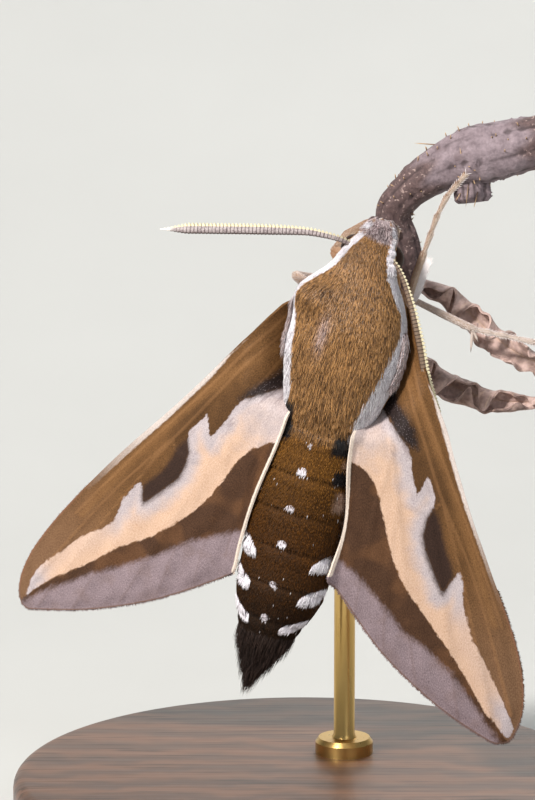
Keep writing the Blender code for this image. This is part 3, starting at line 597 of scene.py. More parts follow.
def set_values(piece, **rows):
    """Store one number for each vertex under each name, for the materials to read."""
    for name, row in rows.items():
        layer = piece.data.attributes.new(name, "FLOAT", "POINT")
        row = np.broadcast_to(np.asarray(row, np.float32), (len(piece.data.vertices),))
        layer.data.foreach_set("value", np.ascontiguousarray(row))


def outward(piece, threshold=1e-5):
    """Merge doubles and turn every face outwards."""
    take(piece)
    bpy.ops.object.mode_set(mode="EDIT")
    bpy.ops.mesh.select_all(action="SELECT")
    bpy.ops.mesh.remove_doubles(threshold=threshold)
    bpy.ops.mesh.normals_make_consistent(inside=False)
    bpy.ops.object.mode_set(mode="OBJECT")
    return piece


skin = ringed_cylinder("body_skin", SKIN_SIDES, SKIN_RINGS)
raw = points_of(skin)
row = raw[:, 1] * SKIN_RINGS
closing = np.minimum(row, SKIN_RINGS - row) / CAP_ROWS
skin_y = np.interp(row, [0, CAP_ROWS, SKIN_RINGS - CAP_ROWS, SKIN_RINGS],
                   [HEAD_FRONT - 0.02, HEAD_FRONT - 0.18, TAIL_TIP + 0.35, TAIL_TIP + 0.2])
skin_degrees = np.degrees(np.arctan2(raw[:, 2], raw[:, 0]))
radius = np.hypot(raw[:, 0], raw[:, 2]) * np.sqrt(np.clip(1 - (1 - np.clip(closing, 0, 1)) ** 2, 0, 1))
surface = body_point(skin_y, skin_degrees)
axis = np.stack([centre_line(skin_y), skin_y, 0 * skin_y], -1)
set_points(skin, axis + (surface - axis) * radius[:, None])
set_values(skin, **body_markings(skin_y, skin_degrees), shade=0.5, tip=0.0)
outward(skin)
print("skin:", triangles(skin), "triangles")

# %% [markdown]
# ## The coat's colours
# One finish serves the skin and all the body's hair. Each hair knows its place's markings, a shade of its
# own, and how near its tip it is. Roots are dark and tips bright: this is painted shade, the dark deep in
# the coat between the hairs, and it gives the coat its depth. White scales have a cold lilac cast, and black
# ones stay a warm brown-black.

# %% The finish of skin and body hair
COAT = {"gold": ((62, 35, 12), (206, 154, 96)), "first_rings": ((68, 40, 8), (164, 112, 44)),
        "mid_rings": ((42, 22, 2), (112, 67, 16)), "tail": ((18, 10, 4), (50, 31, 16)),
        "white": ((206, 198, 206), (252, 250, 252)), "black": ((10, 8, 9), (38, 30, 30)),
        "lilac": ((100, 78, 78), (240, 220, 222)), "pink": ((170, 132, 112), (240, 214, 200)),
        "belly": ((136, 108, 88), (212, 188, 166))}


def coat_finish(name, roughness, shine, relief=0.02):
    finish = Finish(name, roughness=roughness, specular_ior_level=shine)
    value, mottle, fine = finish.value, finish.noise(1.6), finish.noise(0.08)
    # Tips lighter than roots is painted shade deep in the coat; the rest is each hair's own tone and a mottle.
    depth = (value("tip") * 0.5 + value("shade") * 0.85 + mottle * 0.3 + fine * 0.2 - 0.52).clamped()
    tones = {key: finish.mix(depth, root, tip) for key, (root, tip) in COAT.items()}
    rear = value("rear")
    rings = finish.layers(tones["first_rings"], (finish.between(rear, 0.0, 0.5), tones["mid_rings"]),
                          (finish.between(rear, 0.45, 1.0), tones["tail"]))
    tone = finish.layers(tones["gold"], (value("abdomen"), rings), (value("seam") * 0.35, (34, 22, 14)),
                         *[(value(key), tones[key]) for key in ("belly", "pink", "lilac", "black")],
                         (finish.between(value("white") + fine * 0.16 - 0.08, 0.35, 0.65), tones["white"]))
    return finish.feed(base_color=tone, normal=finish.bump(fine, relief))


skin_finish = coat_finish("skin_under_fur", roughness=0.6, shine=0.15, relief=0.05)
fur_finish = coat_finish("golden_fur", roughness=0.34, shine=0.6)
flat_scales = coat_finish("abdomen_scales", roughness=0.55, shine=0.2)
settle(skin, skin_finish, ("head", "thorax", "abdomen"))

# %% [markdown]
# ## Hair as mesh
# Particle hair would be lost in an exported model, so each hair or scale is a thin tapered prism of a few
# faces. Thousands of them are placed in one go with arrays and joined in one mesh. Each starts a little
# under the skin, rises by a small angle and bends back along the lie. Its patch in the OFBake map sits where
# its root is on the unrolled skin, so a baked picture gives it its place's colour.

# %% One function for every kind of tuft
PATCH = 0.003


def tufts(name, root, lie, out, length, width, lift, bend, uv, values, sides=3, joints=2, flat=0.6,
          plane=None):
    """Tapered hairs as one mesh. Root, lie, out and uv have one row for each hair, and the rest may be
    one number for all. Lift is an angle in radians, bend a share of the length."""
    count = len(root)
    lie = unit(lie - out * (lie * out).sum(-1, keepdims=True))
    across = np.cross(lie, out)
    length, width, lift, bend = (np.broadcast_to(np.asarray(value, float), (count,))[:, None]
                                 for value in (length, width, lift, bend))
    rings = []
    shares = [0.0, 0.5, 1.0] if joints == 1 else [0.0, 0.35, 0.72, 1.0]
    for share in shares[:-1]:
        middle = (root + lie * length * share * np.cos(lift)
                  + out * (length * (share * np.sin(lift) - bend * share * share) - 0.04 * (share == 0.0)))
        size = width * 0.5 * (1.0 - 0.55 * share ** 2)
        for corner in range(sides):
            turn = 2 * math.pi * corner / sides + math.pi / 2
            rings.append(middle + across * size * math.cos(turn) + out * size * flat * math.sin(turn))
    tip = root + lie * length * np.cos(lift) + out * length * (np.sin(lift) - bend)
    corners = np.stack(rings + [tip], 1)
    per_hair = corners.shape[1]
    faces = [[0, corner + 1, corner] for corner in range(1, sides - 1)]
    for ring in range(len(shares) - 2):
        for corner in range(sides):
            a, b = ring * sides + corner, ring * sides + (corner + 1) % sides
            faces += [[a, b, b + sides], [a, b + sides, a + sides]]
    last = (len(shares) - 2) * sides
    faces += [[last + corner, last + (corner + 1) % sides, per_hair - 1] for corner in range(sides)]
    faces = np.array(faces)
    index = (faces[None] + np.arange(count)[:, None, None] * per_hair).reshape(-1, 3)
    mesh = bpy.data.meshes.new(name)
    mesh.vertices.add(count * per_hair)
    mesh.vertices.foreach_set("co", corners.ravel())
    mesh.loops.add(index.size)
    mesh.loops.foreach_set("vertex_index", index.ravel())
    mesh.polygons.add(len(index))
    mesh.polygons.foreach_set("loop_start", np.arange(len(index)) * 3)
    mesh.update(calc_edges=True)
    piece = add_object(name, mesh)
    nearness = np.array([share for share in shares[:-1] for _ in range(sides)] + [1.0])
    offset = np.stack([np.cos(np.arange(per_hair) * 2.4), np.sin(np.arange(per_hair) * 2.4)], -1) * PATCH / 2
    patch = (uv[:, None] + offset[None]).reshape(-1, 2)
    mesh.uv_layers.new(name="OFBake").data.foreach_set("uv", patch[index.ravel()].ravel())
    if plane is not None:
        plane = np.repeat(plane, per_hair, 0)[index.ravel()]
        mesh.uv_layers.new(name="wing_plane").data.foreach_set("uv", plane.ravel())
    set_values(piece, tip=np.tile(nearness, count),
               **{key: np.repeat(np.broadcast_to(row, (count,)), per_hair) for key, row in values.items()})
    return piece


def unrolled(y, degrees):
    """The place of a root on the body's unrolled skin, inside the unit square."""
    return np.stack([0.01 + 0.98 * ((degrees % 360.0) / 360.0),
                     0.01 + 0.98 * (y - TAIL_TIP) / (HEAD_FRONT - TAIL_TIP)], -1)


def scattered(front, rear, spacing, low=-180.0, high=180.0):
    """Jittered roots over a stretch of the body, evenly dense whatever its girth."""
    places = []
    for y in np.arange(front, rear, -spacing):
        half, above, below = girth(y)
        around = 2 * math.pi * (half + (above + below) / 2) / 2 * (high - low) / 360.0
        count = max(3, int(around / spacing))
        degrees = low + (np.arange(count) + chance.uniform(-0.5, 0.5, count) + 0.5) * (high - low) / count
        places.append(np.stack([y + chance.uniform(-0.5, 0.5, count) * spacing * 1.3, degrees], -1))
    return np.concatenate(places).T


def body_coat(name, y, degrees, length, width, lift, bend, swirl=0.0, slot="body_fur", speck=0.0, joints=2,
              way=1.0, **marks):
    """Hair rooted on the body, with its place's markings. Swirl combs it round the body, way 1 to the tail."""
    tailward, around, out = body_axes(y, degrees)
    lie = tailward * way + around * np.broadcast_to(swirl, y.shape)[:, None]
    values = body_markings(y + chance.normal(0, 0.05, len(y)), degrees + chance.normal(0, 1.2, len(y)))
    values["white"] = np.maximum(values["white"], speck)
    values.update(marks)
    values["shade"] = chance.uniform(0, 1, len(y))
    piece = tufts(name, body_point(y, degrees), lie, out, length, width, lift, bend, unrolled(y, degrees),
                  values, joints=joints)
    settle(piece, flat_scales if slot == "abdomen_scales" else fur_finish, angle=170)


# %% [markdown]
# ## Fur of the thorax
# The thorax wears long golden hair combed back, short behind the head and longest where it fringes the
# abdomen. Towards the rear the locks lean in to the middle line. Every hair gets a slightly different lift,
# length and swirl, and clumps share part of theirs, so that the coat parts into locks instead of looking
# mown.

# %% Comb the thorax
def clump(y, degrees, size):
    """An uneven wave shared by neighbouring hairs, between about -1.4 and 1.4."""
    turn = np.radians(degrees)
    a = np.sin(y / size * 1.7 + 3.1 * np.cos(turn * 3 + y * 0.6)) * np.sin(turn * 9 + y / size * 0.8)
    return a + 0.4 * np.sin(y / size * 4.1 + turn * 21)


def thorax_fur(name, low, high, spacing):
    y, degrees = scattered(5.7, -7.1, spacing, low, high)
    rear = ease(2.0, -6.0, y)
    side = np.cos(np.radians(degrees))
    length = 0.42 + 0.55 * ease(5.0, -2.0, y) + 0.4 * rear
    length *= chance.uniform(0.75, 1.2, len(y))
    lift = 0.17 + 0.012 * clump(y, degrees, 0.7) + chance.normal(0, 0.035, len(y))
    above = ease(-0.2, 0.3, np.sin(np.radians(degrees)))
    swirl = side * 0.36 * rear * above + 0.05 * clump(y + 3, degrees * 1.1, 0.6)
    swirl = swirl + chance.normal(0, 0.07, len(y))
    # Painted sheen: pale lilac tips in a narrow patch left of the middle of the thorax stand in for the highlight
    # on the hair.
    sheen = 0.9 * np.exp(-((y - 0.8) / 1.2) ** 2 - ((degrees - 106) / 5.5) ** 2)
    body_coat(name, y, degrees, length=length, width=chance.uniform(0.042, 0.074, len(y)), lift=lift,
              bend=lift * 0.7, swirl=swirl, lilac=sheen * chance.uniform(0.3, 1.0, len(y)))


# Each strip lies between two angles and has a spacing of its own.
THORAX_STRIPS = {"belly": (-160, -20, 0.14), "right": (-20, 44, 0.086), "back": (44, 90, 0.078),
                 "crown": (90, 136, 0.078), "left": (136, 200, 0.086)}
for strip, (low, high, spacing) in THORAX_STRIPS.items():
    thorax_fur("thorax_fur_" + strip, low, high, spacing)

SHOULDER_HAIRS = 900
for word, lengthwise, around, outwards in (("left", (-1.6, 2.3), (170, 181), 1),
                                           ("right", (-2.0, 1.8), (-2, 12), -1)):
    y, degrees, comb = (chance.uniform(*ends, SHOULDER_HAIRS) for ends in (lengthwise, around, (0.1, 0.8)))
    body_coat("shoulder_hair_" + word, y, degrees, length=chance.uniform(0.8, 1.5, SHOULDER_HAIRS), width=0.06,
              lift=chance.uniform(0.25, 0.55, SHOULDER_HAIRS), bend=0.2, swirl=outwards * comb,
              lilac=chance.uniform(0.7, 1.0, SHOULDER_HAIRS), white=chance.uniform(0.1, 0.6, SHOULDER_HAIRS))

# %% [markdown]
# ## Scales of head and abdomen
# On the face the scales are short and dense. On the abdomen they are short too, and lie so flat that only
# their tips break the outline, with a few longer ones in the white tufts at the sides and in the brush of
# the tail.

# %% Head, abdomen, side tufts and tail brush
y, degrees = scattered(8.95, 5.6, 0.072)
face = ease(7.7, 8.1, y)
body_coat("head_fur", y, degrees,
          length=0.28 + 0.2 * ease(7.6, 5.8, y) + face * chance.uniform(0.0, 0.16, len(y)),
          width=0.046 + 0.016 * face,
          lift=0.2 + face * chance.uniform(0.0, 0.45, len(y)) + chance.normal(0, 0.05, len(y)), bend=0.14,
          swirl=chance.normal(0, 0.1, len(y)) * (1 + 3 * face), slot="head_fur")

FRINGE_HAIRS = 420
y, degrees = chance.uniform(8.7, 8.98, FRINGE_HAIRS), chance.uniform(-40, 220, FRINGE_HAIRS)
body_coat("forehead_fringe", y, degrees, length=chance.uniform(0.2, 0.34, FRINGE_HAIRS), width=0.06, lift=0.5,
          bend=0.2, swirl=chance.normal(0, 0.3, FRINGE_HAIRS), slot="head_fur", way=-1.0, white=0.3)

for side, low, high, spacing in (("right", 0, 90, 0.118), ("left", 90, 180, 0.118), ("belly", -180, 0, 0.16)):
    y, degrees = scattered(-6.9, -25.4, spacing, low, high)
    dusting = 0.06 * body_markings(y, degrees)["seam"] * ease(-16.0, -9.0, y) + 0.003
    speck = chance.uniform(0, 1, len(y)) < dusting
    body_coat("abdomen_scales_" + side, y, degrees, length=0.34 * chance.uniform(0.8, 1.25, len(y)), width=0.07,
              lift=0.1 + chance.normal(0, 0.02, len(y)), bend=0.03, swirl=chance.normal(0, 0.08, len(y)),
              slot="abdomen_scales", joints=1, speck=speck * 0.9)


PETAL_SCALES = 520


def petal_tuft(start, low, high, half, side):
    """Roots of one white side tuft: a leaf-shaped patch, densest along its middle."""
    along = chance.uniform(0, 1, PETAL_SCALES)
    breadth = half * np.sin(math.pi * (0.12 + 0.84 * along)) ** 0.7
    angle = low + (high - low) * along
    place = start - 0.016 * angle + chance.uniform(-1, 1, PETAL_SCALES) * breadth + 0.15
    return place, np.where(side > 0, angle, 180 - angle)


rows = [petal_tuft(*petal, side) for word, side in SIDES.items() for petal in WHITE_PETALS[word]]
y, degrees = np.concatenate(rows, 1)
body_coat("side_tufts", y, degrees, length=chance.uniform(0.45, 0.75, len(y)), width=0.075,
          lift=0.22 + chance.normal(0, 0.05, len(y)), bend=0.14,
          swirl=np.where(degrees < 90, -0.35, 0.35) + chance.normal(0, 0.08, len(y)), slot="abdomen_scales",
          speck=1.0)

y, degrees = scattered(-22.6, -26.7, 0.09)
loose = chance.uniform(0, 1, len(y)) ** 3
body_coat("tail_brush", y, degrees, length=0.8 + 0.9 * loose, width=0.06 - 0.02 * loose,
          lift=0.16 + 0.3 * loose, bend=0.1, swirl=chance.normal(0, 0.1, len(y)), slot="abdomen_scales",
          lilac=0.04)

# %% [markdown]
# ## The wings
# A wing is a thin, slightly arched membrane, stiffened by veins and by a thick front edge. Its places are
# given by two lengths: how far out along the wing, and how far forward across it. The outline is one list of
# such places, as a pattern cutter would draw it. A flat grid is stretched between the outline's front and
# hind edges, arched, pressed over the veins, and given its thickness by Solidify.

# %% Frames and outlines of the wings
WING_FRAMES = {"left": ((-4.93, 0.97, 1.44), (-20.1, -27.33, -4.26), (-3.77, -19.11, -0.06)),
               "right": ((3.92, 2.53, 1.28), (19.08, -26.15, -3.93), (3.54, -16.97, 0.45))}
FOREWINGS = {
    "left": [(-2.6, 0.2), (0.0, 0.3), (4.5, 0.55), (11.0, 1.05), (18.0, 1.9), (24.5, 2.27), (28.5, 2.1),
             (30.5, 1.65), (31.8, 1.0), (32.6, 0.1), (32.6, -0.7), (31.9, -1.45), (28.3, -4.6), (23.7, -7.7),
             (19.0, -10.0), (17.4, -10.6), (16.7, -10.6), (14.7, -9.55), (11.2, -8.1), (7.4, -6.8), (3.9, -5.4),
             (1.0, -4.0), (-2.6, -2.6)],
    "right": [(-2.6, 0.2), (0.0, 0.3), (6.0, 0.85), (8.5, 1.1), (11.0, 1.1), (15.5, 1.25), (18.0, 1.45),
              (20.0, 1.6), (24.0, 1.95), (27.0, 1.95), (29.3, 1.62), (31.0, 1.0), (32.35, 0.0), (32.55, -0.85),
              (31.9, -1.95), (28.3, -4.95), (23.7, -7.7), (19.0, -9.45), (17.5, -10.0), (16.6, -9.6),
              (14.5, -8.4), (12.4, -7.5), (8.9, -6.35), (6.0, -5.15), (1.0, -3.6), (-2.6, -2.4)],
}
HINDWING = [(-1.6, -1.0), (3.0, -0.9), (9.0, -1.0), (15.0, -1.7), (19.0, -3.2), (19.4, -4.4), (17.5, -6.3),
            (14.0, -7.2), (10.5, -6.2), (6.0, -4.5), (1.0, -2.8), (-1.6, -2.2)]
FOREWING_VEINS = [
    [(-1.5, -0.3), (4.0, -0.2), (9.0, 0.1), (17.0, 0.9), (24.0, 1.35)],
    [(-1.5, -0.9), (4.0, -0.9), (9.0, -0.7), (13.5, -0.5), (21.0, 0.3), (30.6, 0.35)],
    [(13.5, -0.5), (22.0, -0.7), (31.6, -1.3)],
    [(14.0, -1.7), (22.0, -2.5), (29.8, -3.5)],
    [(-1.5, -1.6), (4.0, -2.3), (9.0, -3.2), (12.5, -3.7), (19.0, -4.8), (26.8, -5.9)],
    [(12.5, -3.7), (18.0, -5.8), (23.6, -7.6)],
    [(9.0, -3.2), (14.0, -6.0), (20.2, -8.9)],
    [(13.5, -0.5), (14.0, -1.7), (12.5, -3.7)],
    [(-1.5, -2.2), (4.0, -3.9), (10.0, -6.2), (16.9, -9.4)],
]
HINDWING_VEINS = [[(-1.0, -1.5), (8.0, -1.7), (17.9, -3.3)], [(-1.0, -1.9), (7.0, -3.2), (17.2, -5.6)],
                  [(7.0, -3.2), (13.8, -6.9)], [(-1.0, -2.4), (5.0, -4.2), (10.2, -6.4)]]
HINDWING_DROP, WING_ARCH, WING_THICKNESS = 1.02, 0.6, 0.44
VEIN_HALF_WIDTH, VEIN_RISE, EDGE_ROLL = 0.32, 0.08, 0.12


def curve_through(points, steps, closed=False):
    """A smooth curve through a row of points."""
    points = np.asarray(points, float)
    if closed:
        rows = np.concatenate([points[-1:], points, points[:2]])
    else:
        rows = np.concatenate([2 * points[:1] - points[1:2], points, 2 * points[-1:] - points[-2:-1]])
    t = (np.arange(steps) / steps)[None, :, None]
    a, b, c, d = (rows[k:len(rows) - 3 + k, None] for k in range(4))
    curve = 0.5 * (2 * b + (c - a) * t + (2 * a - 5 * b + 4 * c - d) * t ** 2
                   + (3 * b - a - 3 * c + d) * t ** 3)
    curve = curve.reshape(-1, points.shape[1])
    return curve if closed else np.concatenate([curve, points[-1:]])


def lengths_along(points):
    """How far along a row of points each of them lies."""
    return np.concatenate([[0], np.cumsum(np.linalg.norm(np.diff(points, axis=0), axis=1))])


def rows_at(places, steps, rows):
    """What each column of the rows is at these places along them."""
    return np.stack([np.interp(places, steps, column) for column in np.transpose(rows)], 1)


def front_and_hind(outline):
    """The outline's two edges from root to tip, as rows of out and across."""
    edge = curve_through(outline, 10, closed=True)
    start, tip = edge[:, 0].argmin(), edge[:, 0].argmax()
    edge = np.roll(edge, -start, 0)
    tip = (tip - start) % len(edge)
    front, hind = edge[:tip + 1], np.concatenate([edge[tip:], edge[:1]])[::-1]
    return [side[np.argsort(side[:, 0], kind="stable")] for side in (front, hind)]


def wing_place(word, out, across, height, drop):
    """Points of the wing's arched plane in the moth's millimetres, with the plane's axes."""
    root, apex, tornus = (np.array(row) for row in WING_FRAMES[word])
    along = unit(apex - root)
    rear = tornus - root
    forward = unit(along * rear.dot(along) - rear)
    up = np.cross(along, forward)
    up *= np.sign(up[2])
    arch = WING_ARCH * (1 - ((across + 3.0) / 7.0) ** 2) - drop + height
    return root + along * out[:, None] + forward * across[:, None] + up * arch[:, None], (along, forward, up)


# %% Distances on a wing
def distance_to(points, line):
    """Distance from each point to a row of joined points."""
    best = np.full(len(points), 1e9)
    for a, b in zip(line[:-1], line[1:]):
        run = b - a
        t = np.clip(((points - a) @ run) / max(run @ run, 1e-9), 0, 1)
        best = np.minimum(best, np.linalg.norm(points - a - t[:, None] * run, axis=1))
    return best


def inside_distance(points, corners):
    """Distance to a closed region's edge: above 0 inside it and below 0 outside."""
    corners = np.asarray(corners, float)
    ring = np.concatenate([corners, corners[:1]])
    inside = np.zeros(len(points), bool)
    for (x0, y0), (x1, y1) in zip(ring[:-1], ring[1:]):
        crosses = (y0 > points[:, 1]) != (y1 > points[:, 1])
        inside ^= crosses & (points[:, 0] < (x1 - x0) * (points[:, 1] - y0) / ((y1 - y0) or 1e-9) + x0)
    return np.where(inside, 1, -1) * distance_to(points, ring)


# %% [markdown]
# ## What is painted on the forewing
# The forewing carries a toothed cream band from the base to the tip over a dark brown field, a lilac-grey
# margin outside it, a dark spot in front of it and a fine white line along the front edge. The regions are
# drawn as outlines in the wing's own plane. Each point of the mesh stores its distance to them, and the
# finish turns distance into colour with a ragged edge, as scales make it.

# %% Regions of the forewing
CREAM_UPPER = {
    "left": [(2.9, -4.2), (4.5, -4.0), (5.7, -3.3), (6.9, -2.5), (7.8, -2.45), (9.0, -2.6), (11.1, -2.6),
             (10.5, -1.9), (9.95, -1.2), (11.2, -1.13), (12.1, -1.04), (12.7, -1.47), (13.2, -2.17), (14.1, -2.55),
             (15.3, -2.8), (17.1, -2.5), (18.9, -2.15), (18.3, -1.4), (17.85, -0.85), (18.65, -0.7), (19.9, -0.77),
             (21.9, -1.3), (23.1, -1.0), (25.5, -0.04), (28.0, 0.42), (29.3, 0.6), (30.7, 0.46), (31.8, 0.0)],
    "right": [(3.4, -4.6), (5.75, -3.6), (7.0, -2.8), (7.9, -2.3), (8.7, -2.0), (9.7, -1.95), (11.1, -2.2),
              (12.6, -2.2), (12.0, -1.7), (11.45, -1.15), (12.2, -0.9), (13.2, -0.96), (13.8, -1.3), (14.4, -1.9),
              (15.65, -2.5), (16.8, -2.6), (19.15, -2.4), (20.3, -2.27), (19.8, -1.7), (18.9, -0.55), (20.2, -0.7),
              (21.85, -1.0), (24.2, -1.0), (26.7, -0.5), (29.15, 0.0), (30.4, 0.23), (31.6, 0.22), (32.4, -0.2)],
}
CREAM_LOWER = {
    "left": [(30.5, -0.3), (27.7, -1.25), (25.0, -2.35), (22.8, -3.0), (20.3, -4.3), (19.2, -4.65), (16.6, -5.3),
             (14.1, -5.6), (11.8, -5.4), (10.4, -5.3), (9.0, -5.6), (7.8, -6.2), (6.9, -6.8), (4.2, -5.9)],
    "right": [(32.2, -0.5), (30.0, -1.35), (26.8, -2.25), (24.4, -2.9), (22.0, -3.8), (19.5, -4.7), (17.0, -5.1),
              (14.5, -5.0), (11.9, -4.9), (10.7, -5.0), (9.9, -5.35), (8.9, -6.3), (8.4, -6.8), (4.2, -5.6)],
}
MARGIN_INNER = {
    "left": [(13.6, -9.9), (14.3, -9.1), (15.4, -8.4), (17.9, -6.8), (20.5, -5.8), (23.6, -4.25), (26.7, -2.55),
             (30.0, -1.05), (32.2, -0.2), (34.0, 0.5)],
    "right": [(15.6, -9.6), (16.3, -8.8), (17.3, -8.1), (18.6, -7.4), (20.0, -6.8), (22.1, -5.95), (24.4, -4.3),
              (26.0, -3.3), (28.0, -2.55), (30.1, -1.8), (31.8, -1.2), (34.0, -0.5)],
}
STIGMA = {
    "left": [(12.6, -1.4), (13.6, -1.2), (14.7, -1.5), (16.0, -1.6), (17.1, -1.35), (17.9, -1.2), (18.6, -1.6),
             (19.0, -2.2), (17.1, -2.6), (15.3, -2.9), (14.1, -2.6), (13.2, -2.2)],
    "right": [(13.9, -1.3), (14.4, -1.9), (15.6, -2.6), (16.8, -2.7), (19.2, -2.5), (20.4, -2.3), (19.8, -1.7),
              (19.2, -1.1), (18.3, -1.1), (17.1, -1.2), (15.0, -1.1)],
}
BASE_DARK = {"left": [(2.3, -2.2), (3.7, -2.8), (4.9, -2.6), (7.2, -2.3), (5.7, -3.4), (4.5, -4.1), (3.2, -3.7)],
             "right": [(3.0, -2.4), (5.8, -2.0), (6.7, -1.5), (7.9, -1.2), (9.2, -1.3), (8.7, -2.0), (7.0, -2.8),
                       (5.7, -3.6), (3.8, -3.9)]}
FRONT_LINE = {"left": [(3.2, 0.34), (8.4, 0.78), (12.9, 1.16), (16.6, 1.58), (21.7, 2.1)],
              "right": [(0.0, 0.3), (3.5, 0.5), (5.9, 0.8), (8.3, 1.05), (11.4, 1.08), (14.3, 1.18), (18.5, 1.5),
                        (24.0, 1.95)]}
STREAK = {"left": [(2.0, -1.7), (6.9, -0.3), (13.7, 0.5), (18.0, 0.85), (23.6, 0.9)],
          "right": [(2.0, -1.3), (6.9, -0.1), (13.7, 0.35), (18.0, 0.6), (23.6, 0.8)]}


def forewing_values(word, places):
    upper, lower = CREAM_UPPER[word], CREAM_LOWER[word]
    front, hind = front_and_hind(FOREWINGS[word])
    rim = np.concatenate([front, hind[::-1]])
    return {"cream": inside_distance(places, upper + lower),
            "cream_top": distance_to(places, np.array(upper)),
            "dark": inside_distance(places, lower + [(2.0, -4.0), (2.0, -14.0), (36.0, -14.0), (34.0, 0.4)]),
            "margin": inside_distance(places, MARGIN_INNER[word] + [(34, -14), (10, -14)]),
            "stigma": inside_distance(places, STIGMA[word]),
            "base": inside_distance(places, BASE_DARK[word]),
            "front_line": distance_to(places, np.array(FRONT_LINE[word])),
            "streak": distance_to(places, np.array(STREAK[word])),
            "vein": np.min([distance_to(places, curve_through(vein, 6)) for vein in FOREWING_VEINS], 0),
            "edge": distance_to(places, rim),
            "hind_edge": distance_to(places, hind[hind[:, 0] < 17.0]),
            "out": places[:, 0], "across": places[:, 1]}


# %% Colours of the wings
def wing_finish(name):
    finish = Finish(name, roughness=0.6, specular_ior_level=0.16)
    plane = finish.node("ShaderNodeUVMap", {"uv_map": "wing_plane"})
    wavy = finish.noise(1.1, plane, detail=3.0)
    ragged = finish.noise(0.16, finish.stretched((0.4, 1.0, 1.0), plane))
    scales = finish.noise(0.075, finish.stretched((0.55, 1.0, 1.0), plane), detail=1.0)
    return finish, plane, wavy, ragged, scales


def forewing_finish(name):
    """The pattern, laid down from the brown ground to the white front line and the pale rolled edge."""
    finish, plane, wavy, ragged, scales = wing_finish(name)
    between, value = finish.between, finish.value
    out, vein, cream_top = value("out"), value("vein"), value("cream_top")
    tear = (wavy - 0.5) * 0.22 + (ragged - 0.5) * 0.34
    light = (scales * 1.1 + wavy * 0.35 - 0.25).clamped()

    def tones(dark, bright):
        return finish.mix(light, dark, bright)

    def region(key, soft=0.07, shift=0.0, rough=1.0):
        return between(value(key) + tear * rough + shift, -soft, soft)

    def close_to(key, far, near, jitter=0.08):
        return between(value(key) + (ragged - 0.5) * jitter, far, near)

    ground = finish.mix(between(out, 17.0, 30.0), tones((60, 38, 18), (134, 95, 57)),
                        tones((76, 50, 32), (144, 110, 82)))
    shadowed = between(cream_top + (wavy - 0.5) * 1.2, 2.2, 0.4) * between(out, 22.0, 13.0)
    warm_patch = between(finish.noise(2.6, detail=1.0), 0.5, 0.65)
    dark_field = finish.mix(warm_patch * 0.4, tones((36, 21, 12), (94, 65, 46)),
                            tones((86, 54, 30), (134, 94, 62)))
    lilac = finish.layers(
        tones((86, 73, 76), (168, 149, 154)),
        (between(finish.noise(1.6, plane, 3.0), 0.5, 0.66) * 0.5, tones((92, 74, 72), (158, 138, 138))),
        (between(vein, 0.16, 0.04) * 0.3, (112, 92, 88)))
    peach_part = between(out, 20.5, 24.0) * between(out, 30.5, 28.0) * 0.8
    whitened = between(cream_top + (wavy - 0.5) * 1.3, 1.7, 0.3) * (1 - peach_part)
    whitened = whitened.at_least(between(out + (wavy - 0.5) * 4.0, 11.0, 6.0) * 0.85)
    long_flecks = finish.noise(0.5, finish.stretched((0.25, 1.0, 1.0), plane), 3.0)
    dusted = between(long_flecks + cream_top * 0.08, 0.5, 0.34) * between(out, 16.0, 8.0)
    cream = finish.layers(
        tones((174, 137, 110), (222, 192, 170)),
        (whitened, tones((138, 126, 130), (212, 200, 200))),
        (dusted * 0.5, (128, 112, 112)))
    base_dark = finish.mix(between(scales, 0.64, 0.7) * 0.35, tones((16, 11, 10), (58, 46, 44)),
                           (176, 162, 166))
    front_line = between(value("front_line") + (ragged - 0.5) * 0.2 + between(out, 8.5, 4.0) * 0.3, 0.34, 0.18)
    rim = close_to("edge", 0.14, 0.04)
    rear = between(value("across"), 1.2, 0.4) * between(out, 17.3, 18.0)
    tone = finish.layers(
        ground,
        (shadowed * 0.75, tones((44, 28, 14), (96, 66, 38))),
        (close_to("streak", 0.5, 0.05, 0.2) * 0.4, tones((106, 70, 36), (162, 119, 76))),
        (between(vein, 0.14, 0.03) * 0.3, (150, 108, 70)),
        (region("dark"), dark_field),
        (region("margin", 0.32, rough=1.6), lilac),
        (region("cream"), cream),
        (region("stigma", 0.3, 0.05), tones((28, 17, 13), (68, 48, 39))),
        (region("base", 0.35, 0.05, 1.6), base_dark),
        (front_line * between(out, 23.0, 13.0) * 0.9, tones((176, 160, 152), (240, 230, 224))),
        (close_to("hind_edge", 0.2, 0.12), tones((204, 182, 164), (246, 234, 222))),
        (rim * rear, tones((84, 62, 54), (140, 112, 102))),
        (rim * between(out, 20.0, 24.0) * (1 - rear), tones((96, 62, 44), (150, 108, 84))))
    return finish.feed(base_color=tone, normal=finish.bump(scales, 0.03, 0.8))


def underside_finish():
    """Below, the forewing is a plain dusty olive-pink with a paler margin and a brown root."""
    finish, _, wavy, _, scales = wing_finish("forewing_underside")
    light = (scales * 0.7 + wavy * 0.7 - 0.2).clamped()
    tone = finish.layers(
        finish.mix(light, (140, 112, 88), (206, 178, 152)),
        (finish.between(finish.value("cream") + (wavy - 0.5), -0.6, 0.6) * 0.7,
         finish.mix(light, (196, 156, 132), (236, 206, 182))),
        (finish.between(finish.value("margin"), -0.4, 0.4) * 0.6, (170, 152, 146)),
        (finish.between(finish.value("out") + (wavy - 0.5), 6.0, 3.5),
         finish.mix(light, (60, 38, 18), (134, 95, 57))))
    return finish.feed(base_color=tone, normal=finish.bump(scales, 0.03, 0.8))


# %% Cut, arch and thicken a wing
def vein_height(places, veins):
    near = np.min([distance_to(places, curve_through(vein, 6)) for vein in veins], 0)
    return np.clip(1 - near / VEIN_HALF_WIDTH, 0, 1) ** 1.5


